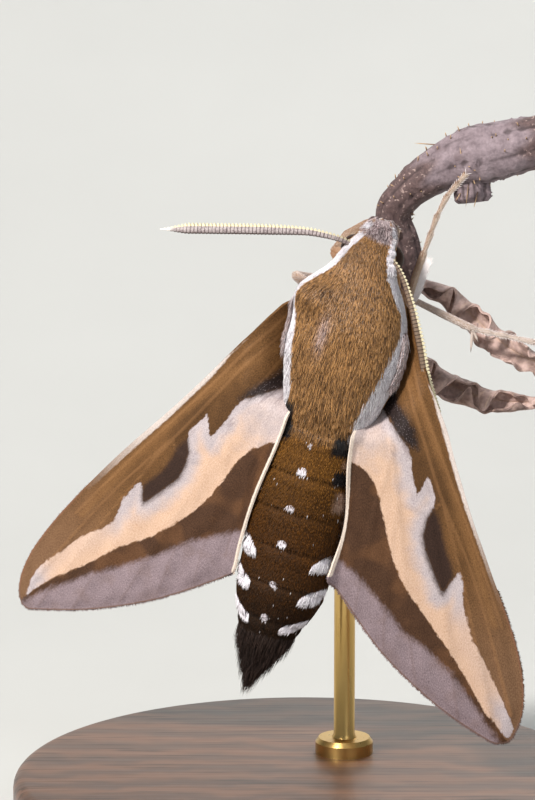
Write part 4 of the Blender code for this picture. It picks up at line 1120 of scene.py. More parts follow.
def clear_of_body(points, gap):
    """Lay what would cut into the abdomen over its flank instead."""
    y = points[:, 1]
    half, above, _ = girth(y, gap)
    reach = np.abs(points[:, 0] - centre_line(y)) / half
    roof = 0.527 - 1.61 * (reach - 0.85)
    flank = above * np.where(reach < 0.85, np.sqrt(np.clip(1 - reach ** 2, 0, 1)), roof)
    points = points.copy()
    rise = flank - points[:, 2]
    rise = np.where(rise > 0.3, rise, np.clip(rise + 0.3, 0, 0.6) ** 2 / 1.2)
    points[:, 2] += rise * ease(-5.2, -6.8, y)
    return points


def tuck_under_fur(points, extra, root):
    """Sink the wing's root into the shoulder, so that the thorax's fur covers it."""
    x, y, z = points.T
    x = x * (1 - 0.35 * ease(root, root + 2.0, y))
    half, above, _ = girth(y, -0.3)
    reach = np.abs(x - centre_line(y)) / half
    inside = above * np.sqrt(np.clip(1 - reach ** 2, 0, 1)) * 0.85
    cap = np.where(reach < 1, inside, 1.1 * (reach - 1) * half) - 1.1 - extra
    sunk = np.minimum(z, cap) - 0.3 * np.exp(-((z - cap) / 0.5) ** 2)
    return np.stack([x, y, z + (sunk - z) * ease(-6.6, -4.6, y)], 1)


def wing_surface(word, out, across, height=0.0, drop=0.0, body_gap=0.3):
    """The wing's plane as it lies on the animal: over the abdomen's flank and sunk in the shoulder."""
    points, axes = wing_place(word, out, across, height, drop)
    return tuck_under_fur(clear_of_body(points, body_gap), drop * 0.9, WING_FRAMES[word][0][1]), axes


def wing(name, word, outline, veins, values, finishes, stands_for, drop=0.0, cells=(190, 64),
         body_gap=0.3):
    """Stretch a grid between the outline's edges, lay it on the animal and thicken it."""
    deselect()
    bpy.ops.mesh.primitive_grid_add(x_subdivisions=cells[0], y_subdivisions=cells[1], size=1.0)
    piece = new_piece(name)
    raw = points_of(piece)
    share, depth = raw[:, 0] + 0.5, raw[:, 1] + 0.5
    front, hind = front_and_hind(outline)
    start, end = front[0, 0], front[-1, 0]
    out = end - (end - start) * (1 - share) ** 1.35
    fore, rear = np.interp(out, *front.T), np.interp(out, *hind.T)
    across = rear + (fore - rear) * (0.5 - 0.5 * np.cos(np.pi * depth) * 0.35 + (depth - 0.5) * 0.65)
    places = np.stack([out, across], 1)
    rim = np.minimum(fore - across, across - rear)
    ridge = vein_height(places, veins)
    roll = np.exp(-((fore - across) / 0.35) ** 2) * EDGE_ROLL * ease(end, end - 8, out)
    hollow = 0.05 * np.sin(across * 3.2 + out * 0.2) * ease(0, 1.5, rim)
    points, axes = wing_surface(word, out, across, ridge * VEIN_RISE + roll + hollow, drop, body_gap)
    set_points(piece, points)
    layer = piece.data.uv_layers.active or piece.data.uv_layers.new(name="wing_plane")
    layer.name = "wing_plane"
    corner = np.empty(len(piece.data.loops), int)
    piece.data.loops.foreach_get("vertex_index", corner)
    layer.data.foreach_set("uv", (places * MM)[corner].ravel())
    set_values(piece, **values(places))
    group = piece.vertex_groups.new(name="thickness")
    for index, amount in enumerate(0.35 + 0.65 * ease(0.0, 1.2, rim) + 0.2 * roll / EDGE_ROLL):
        group.add([index], min(1.0, amount), "REPLACE")
    if piece.data.polygons[0].normal.dot(Vector(axes[2])) < 0:
        piece.data.flip_normals()
    for finish in finishes:
        piece.data.materials.append(finish)
    modify(piece, "SOLIDIFY", thickness=WING_THICKNESS, offset=0.0, vertex_group="thickness",
           material_offset=1, use_quality_normals=True)
    settle(piece, None, (stands_for,))


upper_forewing, under_forewing = forewing_finish("forewing_scales"), underside_finish()
for word, outline in FOREWINGS.items():
    wing("forewing_of_the_" + word, word, outline, FOREWING_VEINS,
         lambda places: forewing_values(word, places), (upper_forewing, under_forewing),
         "forewing_" + word)


# %% The fringe of scales along the edges
FRINGE_SPACING, FRINGE_ROWS = 0.05, 3


def fringe(word, outline):
    """Narrow scales in three rows, from just inside the outline outwards."""
    front, hind = front_and_hind(outline)
    rim = np.concatenate([front[front[:, 0] > 21.0], hind[hind[:, 0] > 16.0][::-1]])
    steps = lengths_along(rim)
    count = int(steps[-1] / FRINGE_SPACING) * FRINGE_ROWS
    where = chance.uniform(0, steps[-1], count)
    place = rows_at(where, steps, rim)
    ahead = rows_at(where + 0.2, steps, rim) - rows_at(where - 0.2, steps, rim)
    outwards = unit(np.stack([-ahead[:, 1], ahead[:, 0]], 1))
    inner = place - outwards * chance.uniform(0.08, 0.2, count)[:, None]
    (at_edge, axes), (at_root, _) = (wing_surface(word, *row.T) for row in (place, inner))
    lie = at_edge - at_root + (axes[0] - axes[1] * 0.4) * 0.05 + chance.normal(0, 0.02, at_edge.shape)
    uv = 0.5 + (inner - (16.0, -4.0)) / 38.0
    piece = tufts("forewing_fringe_" + word, at_root, lie, np.tile(axes[2], (count, 1)),
                  length=chance.uniform(0.2, 0.32, count), width=0.07, lift=chance.normal(0.0, 0.1, count),
                  bend=0.05, uv=uv, values=forewing_values(word, inner), joints=1, flat=0.35, plane=inner * MM)
    settle(piece, upper_forewing)


for word, outline in FOREWINGS.items():
    fringe(word, outline)

# %% [markdown]
# ## The hind wings
# At rest they are hidden below the forewings. The species has them pink across the middle, black at the
# base and along a line before the margin, with a white patch next to the body. They are made in the same
# way, a millimetre lower.

# %% Hind wings
def hindwing_values(places):
    front, hind = front_and_hind(HINDWING)
    return {"edge": distance_to(places, np.concatenate([front, hind[::-1]])),
            "out": places[:, 0], "across": places[:, 1]}


def hindwing_finish(name, faded):
    finish, _, wavy, _, scales = wing_finish(name)
    out, edge = finish.value("out") + (wavy - 0.5) * 1.4, finish.value("edge") + (wavy - 0.5) * 0.5
    light = (scales * 0.8 + wavy * 0.5 - 0.15).clamped()
    line = finish.between(edge, 0.7, 1.0) * finish.between(edge, 2.1, 1.7) * finish.between(out, 5.0, 9.0)
    patch = finish.between(finish.value("across"), -4.6, -5.2) * finish.between(out, 9.5, 8.0)
    tone = finish.layers(
        finish.mix(light, (196, 122, 100), (236, 178, 156)),
        (finish.between(out, 6.0, 4.5), finish.mix(light, (26, 20, 20), (60, 48, 46))),
        (line, finish.mix(light, (28, 22, 22), (62, 50, 48))),
        (patch, (232, 222, 214)))
    if faded:
        tone = finish.layers(tone, (0.55, finish.mix(light, (168, 140, 116), (214, 190, 166))),
                             (finish.between(out, 5.0, 3.0), finish.mix(light, (60, 38, 18), (134, 95, 57))))
    return finish.feed(base_color=tone, normal=finish.bump(scales, 0.03, 0.8))


hindwing_finishes = (hindwing_finish("hindwing_scales_above", False),
                     hindwing_finish("hindwing_scales_below", True))
for word in WING_FRAMES:
    wing("hindwing_of_the_" + word, word, HINDWING, HINDWING_VEINS, hindwing_values, hindwing_finishes,
         "hindwing_" + word, HINDWING_DROP, cells=(90, 36), body_gap=0.1)

# %% [markdown]
# ## Tubes along a route
# Palps, legs and the stem are tubes that change width as they go. A cylinder cut into rings is laid along a
# smooth route and given a radius at each ring, as a modeller would bend a straight limb. The feelers follow
# a route too, with one small model repeated along it.

# %% A limb along a route
def route_frames(path, hint):
    """For each point of a route: the way ahead, to the side and up."""
    ahead = unit(np.gradient(path, axis=0))
    side = unit(np.cross(ahead, np.asarray(hint, float)))
    return ahead, side, np.cross(side, ahead)


def even_route(points, count):
    """A smooth route with evenly spaced points."""
    curve = curve_through(points, 24)
    length = lengths_along(curve)
    return rows_at(np.linspace(0, length[-1], count), length, curve)


def limb(name, path, radii, hint=(0, 0, 1), sides=12, relief=None):
    """A closed tube along a route of ten times n and one points. Relief adds height by ring and angle."""
    rings = len(path) - 1
    piece = ringed_cylinder(name, sides, rings)
    raw = points_of(piece)
    ring = np.rint(raw[:, 1] * rings).astype(int)
    turn = np.arctan2(raw[:, 2], raw[:, 0])
    flat = np.hypot(raw[:, 0], raw[:, 2])
    _, side, up = route_frames(path, hint)
    size = np.asarray(radii, float)[ring]
    if relief is not None:
        size = size + relief(ring, turn)
    size = size * flat
    set_points(piece, path[ring] + side[ring] * (size * np.cos(turn))[:, None]
               + up[ring] * (size * np.sin(turn))[:, None])
    return piece, ring, turn


def many(name, model, matrices):
    """Copies of one small model joined in one mesh."""
    points = points_of(model)
    corners = np.ones((len(points), 4))
    corners[:, :3] = points
    moved = np.concatenate([(corners @ np.array(matrix).T)[:, :3] for matrix in matrices])
    faces = [tuple(vertex + len(points) * copy for vertex in face.vertices)
             for copy in range(len(matrices)) for face in model.data.polygons]
    mesh = bpy.data.meshes.new(name)
    mesh.from_pydata(moved.tolist(), [], faces)
    piece = add_object(name, mesh)
    bpy.data.objects.remove(model)
    return piece


# %% [markdown]
# ## The feelers
# A hawk-moth's feeler is a club of about fifty short rings, each with a cream tooth in front and a narrow
# dark seam behind, and it ends in a fine white point. One ring is modelled: a cut cone whose front faces
# are drawn out to a tooth. It is then repeated along the route, each time at that place's size.

# %% One ring, repeated along the feeler
FEELERS = {
    "left": [(-1.1, 6.75, 0.9), (-2.1, 7.0, 1.2), (-3.6, 7.0, 1.5), (-5.16, 6.78, 1.6), (-8.76, 5.87, 1.8),
             (-12.41, 4.86, 1.8), (-13.9, 4.43, 1.7), (-15.26, 4.05, 1.6)],
    "right": [(1.2, 6.9, 0.8), (1.85, 6.55, 0.95), (2.5, 6.1, 1.08), (3.1, 5.41, 1.1), (3.7, 4.51, 1.12),
              (4.25, 3.6, 1.12), (4.8, 2.55, 1.1), (5.5, 1.1, 0.9), (6.24, -0.71, 0.5), (6.93, -2.19, -0.1),
              (7.8, -4.0, -1.05), (8.3, -5.1, -1.35)],
}
FEELER_PITCH = 0.27


def feeler_ring():
    deselect()
    bpy.ops.mesh.primitive_cone_add(vertices=14, radius1=0.86, radius2=1.0, depth=0.94)
    ring = new_piece("feeler_ring")
    bpy.ops.object.mode_set(mode="EDIT")
    pick(ring, "FACE", lambda face: face.calc_center_median().x > 0.7 and abs(face.normal.z) < 0.5)
    bpy.ops.mesh.extrude_region_move(TRANSFORM_OT_translate={"value": (0.62, 0, 0.16)})
    bpy.ops.transform.resize(value=(0.4, 0.45, 0.34))
    bpy.ops.object.mode_set(mode="OBJECT")
    return ring


def feeler_finish():
    finish = Finish("feeler_scales", roughness=0.55)
    grain, mottle = finish.noise(0.08), finish.noise(0.14, detail=1.0)
    fore, rise, reach = finish.value("fore"), finish.value("rise"), finish.value("reach")
    seam = finish.between(finish.value("seam") + (grain - 0.5) * 0.25, 0.72, 0.86)
    brown = finish.mix(grain, (46, 32, 27), (100, 74, 60))
    tone = finish.layers(
        finish.mix(grain, (126, 110, 110), (208, 196, 194)),
        (finish.between(mottle, 0.5, 0.62) * 0.6, (112, 94, 98)),
        (finish.value("folded"), finish.mix(grain, (72, 54, 42), (146, 122, 100))),
        (seam * 0.75, (56, 42, 40)),
        # The brown along the aft side is painted shadow.
        (finish.between(fore + rise * 0.35, -0.25, -0.5), brown),
        (finish.between(fore, 0.72, 0.9), finish.mix(grain, (204, 186, 138), (250, 242, 212))),
        (finish.between(reach, 0.2, 0.0) * 0.5, brown),
        (finish.between(reach, 0.93, 0.97), (246, 240, 232)))
    return finish.feed(base_color=tone, normal=finish.bump(grain, 0.02))


FEELER_RADII = {"left": 0.29, "right": 0.24}
feeler_scales = feeler_finish()
for word, route in FEELERS.items():
    count = int(lengths_along(curve_through(route, 20))[-1] / FEELER_PITCH)
    path = even_route(route, count)
    ahead, side, _ = route_frames(path, (0, 0, 1))
    reach = np.linspace(0, 1, count)
    club = 0.66 + 0.49 * ease(0.0, 0.5, reach)
    point = 1 - 0.9 * np.clip((reach - 0.86) / 0.14, 0, 1)
    matrices = []
    for place, run, across, size in zip(path, ahead, side, FEELER_RADII[word] * club * point):
        fore = across if across[1] > 0 else -across
        columns = np.stack([fore * size, np.cross(run, fore) * size, run * FEELER_PITCH, place], 1)
        matrices.append(np.concatenate([columns, [[0, 0, 0, 1]]]))
    model = feeler_ring()
    corners = points_of(model)
    feeler = many("feeler_" + word, model, matrices)
    set_values(feeler, fore=np.tile(corners[:, 0], count), rise=np.tile(corners[:, 1], count) * SIDES[word],
               seam=np.tile(0.5 - corners[:, 2], count), reach=np.repeat(reach, len(corners)),
               folded=float(word == "right"))
    settle(feeler, feeler_scales, ("antenna_" + word,), angle=40)

# %% [markdown]
# ## Eyes
# The eyes are large dark domes of thousands of facets, with a soft shine. Each is a sphere in its socket of
# fur, with facets as a fine pattern of cells, too small to model.

# %% Two faceted eyes
EYE_RADIUS, FACETS_PER_METRE = 1.08, 16000.0


def eye_finish():
    finish = Finish("dark_eye", roughness=0.42, specular_ior_level=0.14)
    cells = finish.node("ShaderNodeTexVoronoi", {}, {"Vector": finish.place(), "Scale": FACETS_PER_METRE})
    tone = finish.mix(finish.noise(0.5), (20, 12, 9), (70, 46, 34))
    return finish.feed(base_color=tone, normal=finish.bump(cells, 0.012, 0.5))


dark_eye = eye_finish()
for word, side in SIDES.items():
    deselect()
    socket = (EYE_CENTRE.x * side * 0.88, EYE_CENTRE.y - 0.05, EYE_CENTRE.z - 0.15)
    bpy.ops.mesh.primitive_uv_sphere_add(segments=48, ring_count=32, radius=EYE_RADIUS, location=socket)
    eye = new_piece("domed_eye_" + word)
    bpy.ops.object.transform_apply(location=True)
    settle(eye, dark_eye, ("eye_" + word,))

# %% [markdown]
# ## Palps
# Two thick palps curve up in front of the face and hide the rolled tongue. They are tubes clothed in short
# scales, lilac-grey above and sandy below.

# %% Palps and their scales
TUBE_HAIR_SPACING = 0.09


def tube_hair(name, path, radii, hint, length, width, lift, finish, values):
    """Short hair on a tube, lying towards its far end."""
    ahead, side, up = route_frames(path, hint)
    steps = lengths_along(path)
    rows, spacing = [], TUBE_HAIR_SPACING
    for place in np.arange(spacing, steps[-1] - spacing * 0.5, spacing):
        around = max(4, int(2 * math.pi * np.interp(place, steps, radii) / spacing))
        turns = (np.arange(around) + chance.uniform(-0.5, 0.5, around)) * 2 * math.pi / around
        rows.append(np.stack([place + chance.uniform(-0.5, 0.5, around) * spacing, turns], 1))
    place, turn = np.concatenate(rows).T
    ahead, side, up, middle = (rows_at(place, steps, row) for row in (ahead, side, up, path))
    out = side * np.cos(turn)[:, None] + up * np.sin(turn)[:, None]
    root = middle + out * np.interp(place, steps, radii)[:, None]
    share = place / steps[-1]
    uv = np.stack([0.02 + 0.96 * (turn / (2 * math.pi) % 1.0), 0.02 + 0.96 * share], 1)
    rows = values(share, turn, root)
    rows["shade"] = chance.uniform(0, 1, len(place))
    piece = tufts(name, root, ahead + chance.normal(0, 0.12, root.shape), out,
                  length * chance.uniform(0.8, 1.2, len(place)), width, lift, lift * 0.5, uv, rows, joints=1)
    settle(piece, finish)


BARE = dict.fromkeys(("white", "black", "pink", "seam", "belly", "lilac", "rear", "abdomen"), 0.0)
PALP = [(0.72, 6.4, -2.2), (0.76, 7.4, -2.3), (0.72, 8.2, -1.9), (0.62, 8.6, -1.1), (0.55, 8.65, -0.6)]
PALP_POINTS, PALP_RADIUS = 31, 0.46
for word, side in SIDES.items():
    path = even_route([(x * side, y, z) for x, y, z in PALP], PALP_POINTS)
    radii = PALP_RADIUS * np.sin(math.pi * (0.22 + 0.7 * np.linspace(0, 1, PALP_POINTS))) ** 0.6
    palp, ring, turn = limb("palp_of_the_" + word, path, radii, (side, 0, 0.2))
    set_values(palp, **dict(BARE, belly=0.6, shade=0.5, tip=0.0))
    settle(palp, skin_finish, ("palp_" + word,))
    tube_hair("palp_fur_" + word, path, radii, (side, 0, 0.2), length=0.36, width=0.07, lift=0.35,
              finish=fur_finish,
              values=lambda share, turn, root: dict(BARE, lilac=ease(-2.2, -1.2, root[:, 2]) * 0.9,
                                                    belly=ease(0.0, -1.0, root[:, 2])))

# %% [markdown]
# ## Legs
# Each leg has a thick femur, a slender tibia, with spurs on the mid and hind legs, and a thin foot of five
# short joints that ends in two claws. They are clothed in scales, tan on the femur and paler towards the
# foot, with small thorns along it. A route runs from inside the body over knee, shin, ankle and two places of
# the foot to the claw.

# %% Routes and sizes of the legs
LEGS = {
    "foreleg_left": [(-1.2, 4.6, -2.3), (-3.5, 5.3, -4.1), (-2.95, 6.6, -4.3), (-1.6, 7.9, -4.4),
                     (-0.8, 8.2, -4.6), (-0.2, 8.1, -5.2), (0.3, 7.7, -5.85)],
    "foreleg_right": [(1.2, 4.2, -2.3), (3.0, 3.45, -3.3), (2.98, 5.24, -3.3), (3.13, 7.05, -3.4),
                      (3.34, 10.0, -3.5), (3.64, 11.6, -3.7), (4.6, 13.6, -3.8)],
    "midleg_left": [(-1.4, 1.2, -3.4), (-6.2, 2.65, -4.7), (-4.0, 2.7, -6.7), (-1.7, 2.6, -8.0),
                    (-0.95, 3.0, -9.1), (-0.2, 3.4, -9.9), (1.1, 3.7, -10.25)],
    "midleg_right": [(1.4, 1.2, -3.4), (2.9, 3.4, -4.6), (5.4, 2.9, -5.0), (7.87, 2.42, -5.5),
                     (10.1, 2.55, -5.9), (12.4, 2.65, -6.3), (14.6, 2.75, -6.9)],
    "hindleg_left": [(-1.4, -2.2, -3.4), (-4.4, -4.6, -5.4), (-3.4, -7.5, -6.4), (-2.2, -10.2, -7.3),
                     (-1.5, -11.8, -8.0), (-1.2, -13.3, -8.6), (-0.7, -14.6, -9.3)],
    "hindleg_right": [(1.4, -2.2, -3.4), (4.4, -4.6, -5.4), (3.9, -7.5, -6.4), (3.2, -10.2, -7.3),
                      (2.9, -11.8, -8.0), (3.2, -13.3, -8.6), (3.3, -14.6, -9.3)],
}
FEMUR, TIBIA, TARSUS = 0.42, 0.29, 0.22
STOUT = {"foreleg_left": 1.5, "foreleg_right": 1.0, "midleg_right": 1.0}
STOUT_ELSEWHERE = 1.15
LEG_HINT = (0.3, 0.2, 1.0)
LEG_POINTS, LEG_COAT = 131, 0.03


def leg_rings(route, stout):
    """The route with its radius at each place, and where femur, tibia and foot begin."""
    hip, knee, shin, ankle, toe_a, toe_b, claw = (np.array(row) for row in route)
    stops = [(hip, FEMUR), (hip * 0.5 + knee * 0.5, FEMUR * 1.05), (hip * 0.1 + knee * 0.9, FEMUR * 0.8),
             (knee, TIBIA * 0.95), (knee * 0.75 + shin * 0.25, TIBIA * 0.85), (shin, TIBIA),
             (shin * 0.15 + ankle * 0.85, TIBIA), (ankle, TARSUS * 1.1)]
    parts = [0.0, 0.0, 0.0, 1.0, 1.0, 1.0, 1.0, 2.0]
    joints = [ankle, ankle * 0.45 + toe_a * 0.55, toe_a, toe_b, toe_b * 0.45 + claw * 0.55, claw]
    for start, end in zip(joints, joints[1:]):
        for share, size in ((0.1, 0.78), (0.5, 0.92), (0.88, 1.12)):
            stops.append((start * (1 - share) + end * share, TARSUS * size))
            parts.append(2.0)
    points = np.array([stop[0] for stop in stops])
    length = lengths_along(points)
    places = np.linspace(0, length[-1], LEG_POINTS)
    path = rows_at(places, length, points)
    for _ in range(3):
        path[1:-1] = (path[:-2] + 2 * path[1:-1] + path[2:]) / 4
    radii = np.interp(places, length, [stop[1] for stop in stops]) * stout
    return path, radii, np.interp(places, length, parts)


def leg_finish():
    finish = Finish("leg_scales", roughness=0.6)
    grain, part = finish.noise(0.07), finish.value("part")
    # Tips lighter than roots is painted shade deep among the scales; the grain and each scale's shade value are
    # its own tone.
    light = (grain * 0.6 + finish.value("tip") * 0.4 + finish.value("shade") * 0.3 - 0.15).clamped()
    femur, tibia, foot, pale = (finish.mix(light, *tones) for tones in (
        ((138, 100, 72), (208, 174, 144)), ((140, 112, 90), (222, 202, 184)),
        ((150, 128, 112), (232, 214, 198)), ((186, 172, 174), (252, 247, 246))))
    tone = finish.layers(femur, (finish.between(part, 0.4, 0.8), tibia), (finish.between(part, 1.6, 1.9), foot),
                         (finish.value("stripe") * 0.75, (140, 98, 66)), (finish.value("pale"), pale))
    return finish.feed(base_color=tone, normal=finish.bump(grain, 0.02))


leg_scales = leg_finish()


def spines(name, spikes, radius, values):
    """Bare pointed spines as one mesh. Each spike is a root, a direction and a length."""
    roots, directions, lengths = (np.array(row, float) for row in zip(*spikes))
    directions = unit(directions)
    out = np.cross(unit(np.cross(directions, (0.31, 0.17, 0.94))), directions)
    uv = np.stack([np.linspace(0.02, 0.98, len(roots)), 0.5 + 0 * roots[:, 0]], 1)
    return tufts(name, roots - directions * 0.08, directions, out, lengths + 0.08, radius * 2, 0.0, 0.0, uv,
                 values, sides=6, flat=1.0)


# %% Model every leg
def join(pieces, name):
    deselect()
    for piece in pieces:
        piece.select_set(True)
    bpy.context.view_layer.objects.active = pieces[0]
    bpy.ops.object.join()
    pieces[0].name = pieces[0].data.name = name
    return pieces[0]


def spurs_of(route):
    """Two spurs behind the ankle, a long one and a short one."""
    shin, ankle = np.array(route[2], float), np.array(route[3], float)
    run = (ankle - shin) / np.linalg.norm(ankle - shin)
    aside = np.cross(run, (0, 0, 1.0))
    aside *= -np.sign(aside[1]) / np.linalg.norm(aside)
    return [(ankle - run * 0.15, run * forward + aside * 1.1 + (0, 0, 0.12), length)
            for forward, length in ((0.45, 1.8), (1.25, 1.1))]


def thorns_of(path, radii, part):
    """Fine thorns in rings along the foot, and two claws at its end."""
    ahead, side, up = route_frames(path, LEG_HINT)
    spikes = []
    for index in np.nonzero(part > 1.95)[0][2:-2:2]:
        for angle in (0.4, 2.7, 4.2, 5.3):
            out = side[index] * math.cos(angle) + up[index] * math.sin(angle)
            spikes.append((path[index] + out * (radii[index] - 0.05), out * 0.75 + ahead[index],
                           chance.uniform(0.2, 0.34)))
    for angle in (-0.7, 0.7):
        claw = side[-1] * math.sin(angle) + ahead[-1] * math.cos(angle) - up[-1] * 0.3
        spikes.append((path[-1], claw, 0.55))
    return spikes


def leg(name, route):
    path, radii, part = leg_rings(route, STOUT.get(name, STOUT_ELSEWHERE))
    bare, ring, _ = limb(name, path, radii - LEG_COAT, LEG_HINT)
    set_values(bare, part=part[ring], tip=0.0, shade=0.5, stripe=0.0, pale=0.0)
    pieces = [bare]
    if not name.startswith("foreleg"):
        pieces.append(spines(name + "_spurs", spurs_of(route), 0.13,
                             dict(part=1.0, shade=0.5, stripe=0.0, pale=0.3)))
    pieces.append(spines(name + "_thorns", thorns_of(path, radii, part), 0.03,
                         dict(part=2.0, shade=0.5, stripe=0.0, pale=0.8)))
    return join(pieces, name + "_limb"), path, radii, part


for name, route in LEGS.items():
    piece, path, radii, part = leg(name, route)
    settle(piece, leg_scales, (name,))
    along = np.linspace(0, 1, len(part))
    pale = 0.0 if name.startswith("foreleg") else 0.5
    tube_hair(name + "_scales", path, radii - LEG_COAT, LEG_HINT, length=0.22, width=0.06, lift=0.2,
              finish=leg_scales,
              values=lambda share, turn, root: {"part": np.interp(share, along, part), "pale": pale,
                                                "stripe": ease(0.25, -0.25, np.cos(turn)) * (1 - pale)})

# %% [markdown]
# The right foreleg has a comb of long white and lilac hairs along its tibia. It stands out clear against
# the stem in the photograph, so it gets hairs of its own.

# %% The comb of the right foreleg
COMB_HAIRS = 520
knee, ankle = np.array(LEGS["foreleg_right"][1]), np.array(LEGS["foreleg_right"][3])
share = chance.uniform(0.0, 0.74, COMB_HAIRS)
sideways = np.stack([chance.uniform(0.1, 0.5, COMB_HAIRS), 0 * share, 0 * share], 1)
root = knee + (ankle - knee) * share[:, None] + sideways
lie = ankle - knee + np.array((1.0, 0.0, 0.15)) + chance.normal(0, 0.22, (COMB_HAIRS, 3))
comb = tufts("foreleg_comb", root, lie, np.tile((0.0, 0.0, 1.0), (COMB_HAIRS, 1)),
             length=chance.uniform(0.5, 1.25, COMB_HAIRS), width=0.065, lift=0.1, bend=0.06,
             uv=np.stack([share, 0.5 + 0 * share], 1),
             values={"part": 1.0, "stripe": 0.0, "pale": 1.0, "shade": chance.uniform(0.8, 1.6, COMB_HAIRS)})
settle(comb, leg_scales)

# %% [markdown]
# ## The perch
# The stem is a withered thistle: dark purple-brown, wrinkled lengthwise, warty, with fine prickles and two
# dead leaves curled like paper. The stem is one limb with its wrinkles pushed in by a relief function. The
# leaves are grids that are bent, lobed and crinkled, then thickened.

# %% Stem, side shoot and prickles
STEM = [(1.62, -15.3, -8.6), (0.95, -12.6, -8.4), (0.3, -10.0, -8.2), (0.4, -5.0, -8.3), (0.9, 0.0, -8.3),
        (1.1, 4.0, -8.1), (0.6, 6.6, -7.5), (-0.5, 8.7, -6.8), (-0.1, 10.3, -6.4), (1.3, 12.3, -6.3),
        (3.3, 14.1, -6.6), (6.0, 15.6, -6.9), (8.5, 17.0, -7.0), (9.6, 17.8, -7.0)]
STEM_RADII = [1.45, 1.45, 1.4, 1.35, 1.35, 1.4, 1.4, 1.4, 1.3, 1.35, 1.75, 2.3, 2.1, 1.8]
SHOOT = [(4.0, 13.9, -7.0), (4.6, 12.5, -6.95), (5.1, 11.3, -6.85)]
STEM_HINT = (0.3, -0.2, 1.0)
STEM_RINGS, SHOOT_RINGS, STEM_SIDES = 260, 40, 40
SMALL_PRICKLES = 130
LONG_PRICKLES = [((1.5, 14.75, -6.0), (-1.75, -0.35, 0.1), 1.8), ((4.0, 13.9, -4.9), (-0.55, 1.4, 0.5), 1.5),
                 ((4.6, 12.6, -5.6), (0.3, -1.6, 0.3), 1.7), ((5.4, 12.2, -5.7), (0.1, -1.3, 0.4), 1.2),
                 ((4.2, 12.0, -5.8), (-0.3, -1.2, 0.3), 0.9)]


def wrinkles(ring, turn):
    """Long folds, cross wrinkles and warts on the stem."""
    reach = ring * 0.16
    folds = 0.055 * np.sin(turn * 7 + 0.6 * np.sin(reach * 0.9)) + 0.035 * np.sin(turn * 13 + reach * 0.4)
    cross = 0.04 * np.sin(reach * 5.1 + 2 * np.sin(turn * 2)) * (0.5 + 0.5 * np.sin(turn * 3 + reach))
    warts = np.clip(np.sin(turn * 5 + reach * 2.3) * np.sin(reach * 3.7 + turn * 2), 0.75, 1) - 0.75
    return (folds + cross + warts * 0.5) * ease(0, 14, ring)


def stem_finish():
    finish = Finish("withered_stem", roughness=0.8)
    grain, large = finish.noise(0.22, detail=4.0), finish.noise(2.4, detail=3.0)
    fleck, smooth = finish.between(finish.noise(0.3), 0.6, 0.68), finish.value("smooth")
    cloud = grain * 0.5 + finish.noise(0.8, detail=4.0) * 0.9 - 0.2
    bare_skin = finish.layers(finish.mix(cloud, (62, 47, 53), (180, 162, 168)),
                              (finish.between(large, 0.54, 0.64) * 0.45, (78, 57, 58)))
    tone = finish.layers(
        finish.mix(grain, (38, 26, 28), (122, 98, 96)),
        (finish.between(large, 0.55, 0.7) * 0.5, (130, 112, 112)),
        (fleck * (1 - smooth) * 0.7, (178, 154, 146)),
        (smooth * 0.9, bare_skin),
        # Painted shade: the hollows of the folds and ribs are darker.
        (finish.between(finish.value("fold"), -0.02, -0.09) * 0.7, (44, 30, 32)),
        (finish.value("tip"), (206, 170, 128)))
    return finish.feed(base_color=tone, roughness=grain * 0.25 + 0.65, normal=finish.bump(grain, 0.08, 0.9))


def ribs(turn):
    """Nine ribs round the side shoot."""
    return 0.1 * np.sin(turn * 9)


withered = stem_finish()
path = even_route(STEM, STEM_RINGS + 1)
radii = 0.97 * np.interp(np.linspace(0, 1, STEM_RINGS + 1), np.linspace(0, 1, len(STEM_RADII)), STEM_RADII)
stem, ring, turn = limb("thistle_stem", path, radii, STEM_HINT, STEM_SIDES, wrinkles)
set_values(stem, fold=wrinkles(ring, turn),
           smooth=span(ring / STEM_RINGS + 0.02 * np.sin(turn * 5), 0.755, 0.95, 0.02))
shoot_radii = np.interp(np.linspace(0, 1, SHOOT_RINGS + 1), [0, 0.6, 0.9, 1], [1.5, 1.3, 1.3, 1.0])
shoot, ring, turn = limb(
    "thistle_shoot", even_route(SHOOT, SHOOT_RINGS + 1), shoot_radii, sides=STEM_SIDES,
    relief=lambda ring, turn: wrinkles(ring + 40, turn) + ribs(turn) * ring / SHOOT_RINGS)
set_values(shoot, fold=ribs(turn), smooth=0.8)

_, side, up = route_frames(path, STEM_HINT)
spikes = []
while len(spikes) < SMALL_PRICKLES:
    index = int(chance.integers(30, 250))
    angle = chance.uniform(0, 2 * math.pi)
    out = side[index] * math.cos(angle) + up[index] * math.sin(angle)
    if path[index][1] < 9.0 and out[2] > -0.1:
        continue
    spikes.append((path[index] + out * radii[index], out + (0, 0.35, 0) + chance.normal(0, 0.25, 3),
                   chance.uniform(0.15, 0.45)))
prickles = spines("stem_prickles", spikes + LONG_PRICKLES, 0.055, {})
settle(join([stem, shoot, prickles], "thistle_stem"), withered, ("perch",))

# %% Two dead leaves
UPPER_LEAF = [(1.2, 4.2, -8.2), (3.2, 4.1, -7.9), (4.9, 3.8, -8.3), (7.0, 2.8, -8.6), (9.3, 1.7, -8.4),
              (12.0, 1.0, -8.2), (14.8, 1.1, -8.0), (16.4, 1.6, -8.3)]
LOWER_LEAF = [(0.8, -0.5, -8.4), (3.5, -1.6, -9.0), (6.5, -2.8, -9.6), (9.5, -3.0, -9.9), (12.5, -2.4, -10.0),
              (14.0, -1.5, -9.6)]


def leaf_finish():
    finish = Finish("dead_leaf", roughness=0.75)
    grain, large = finish.noise(0.3, detail=4.0), finish.noise(2.0)
    tone = finish.layers(
        finish.mix(grain, (122, 94, 88), (224, 196, 186)),
        (finish.between(large, 0.52, 0.66) * 0.65, finish.mix(grain, (62, 46, 42), (122, 96, 86))),
        (finish.value("vein") * 0.6, (196, 168, 146)))
    return finish.feed(base_color=tone, normal=finish.bump(grain, 0.1, 0.8))


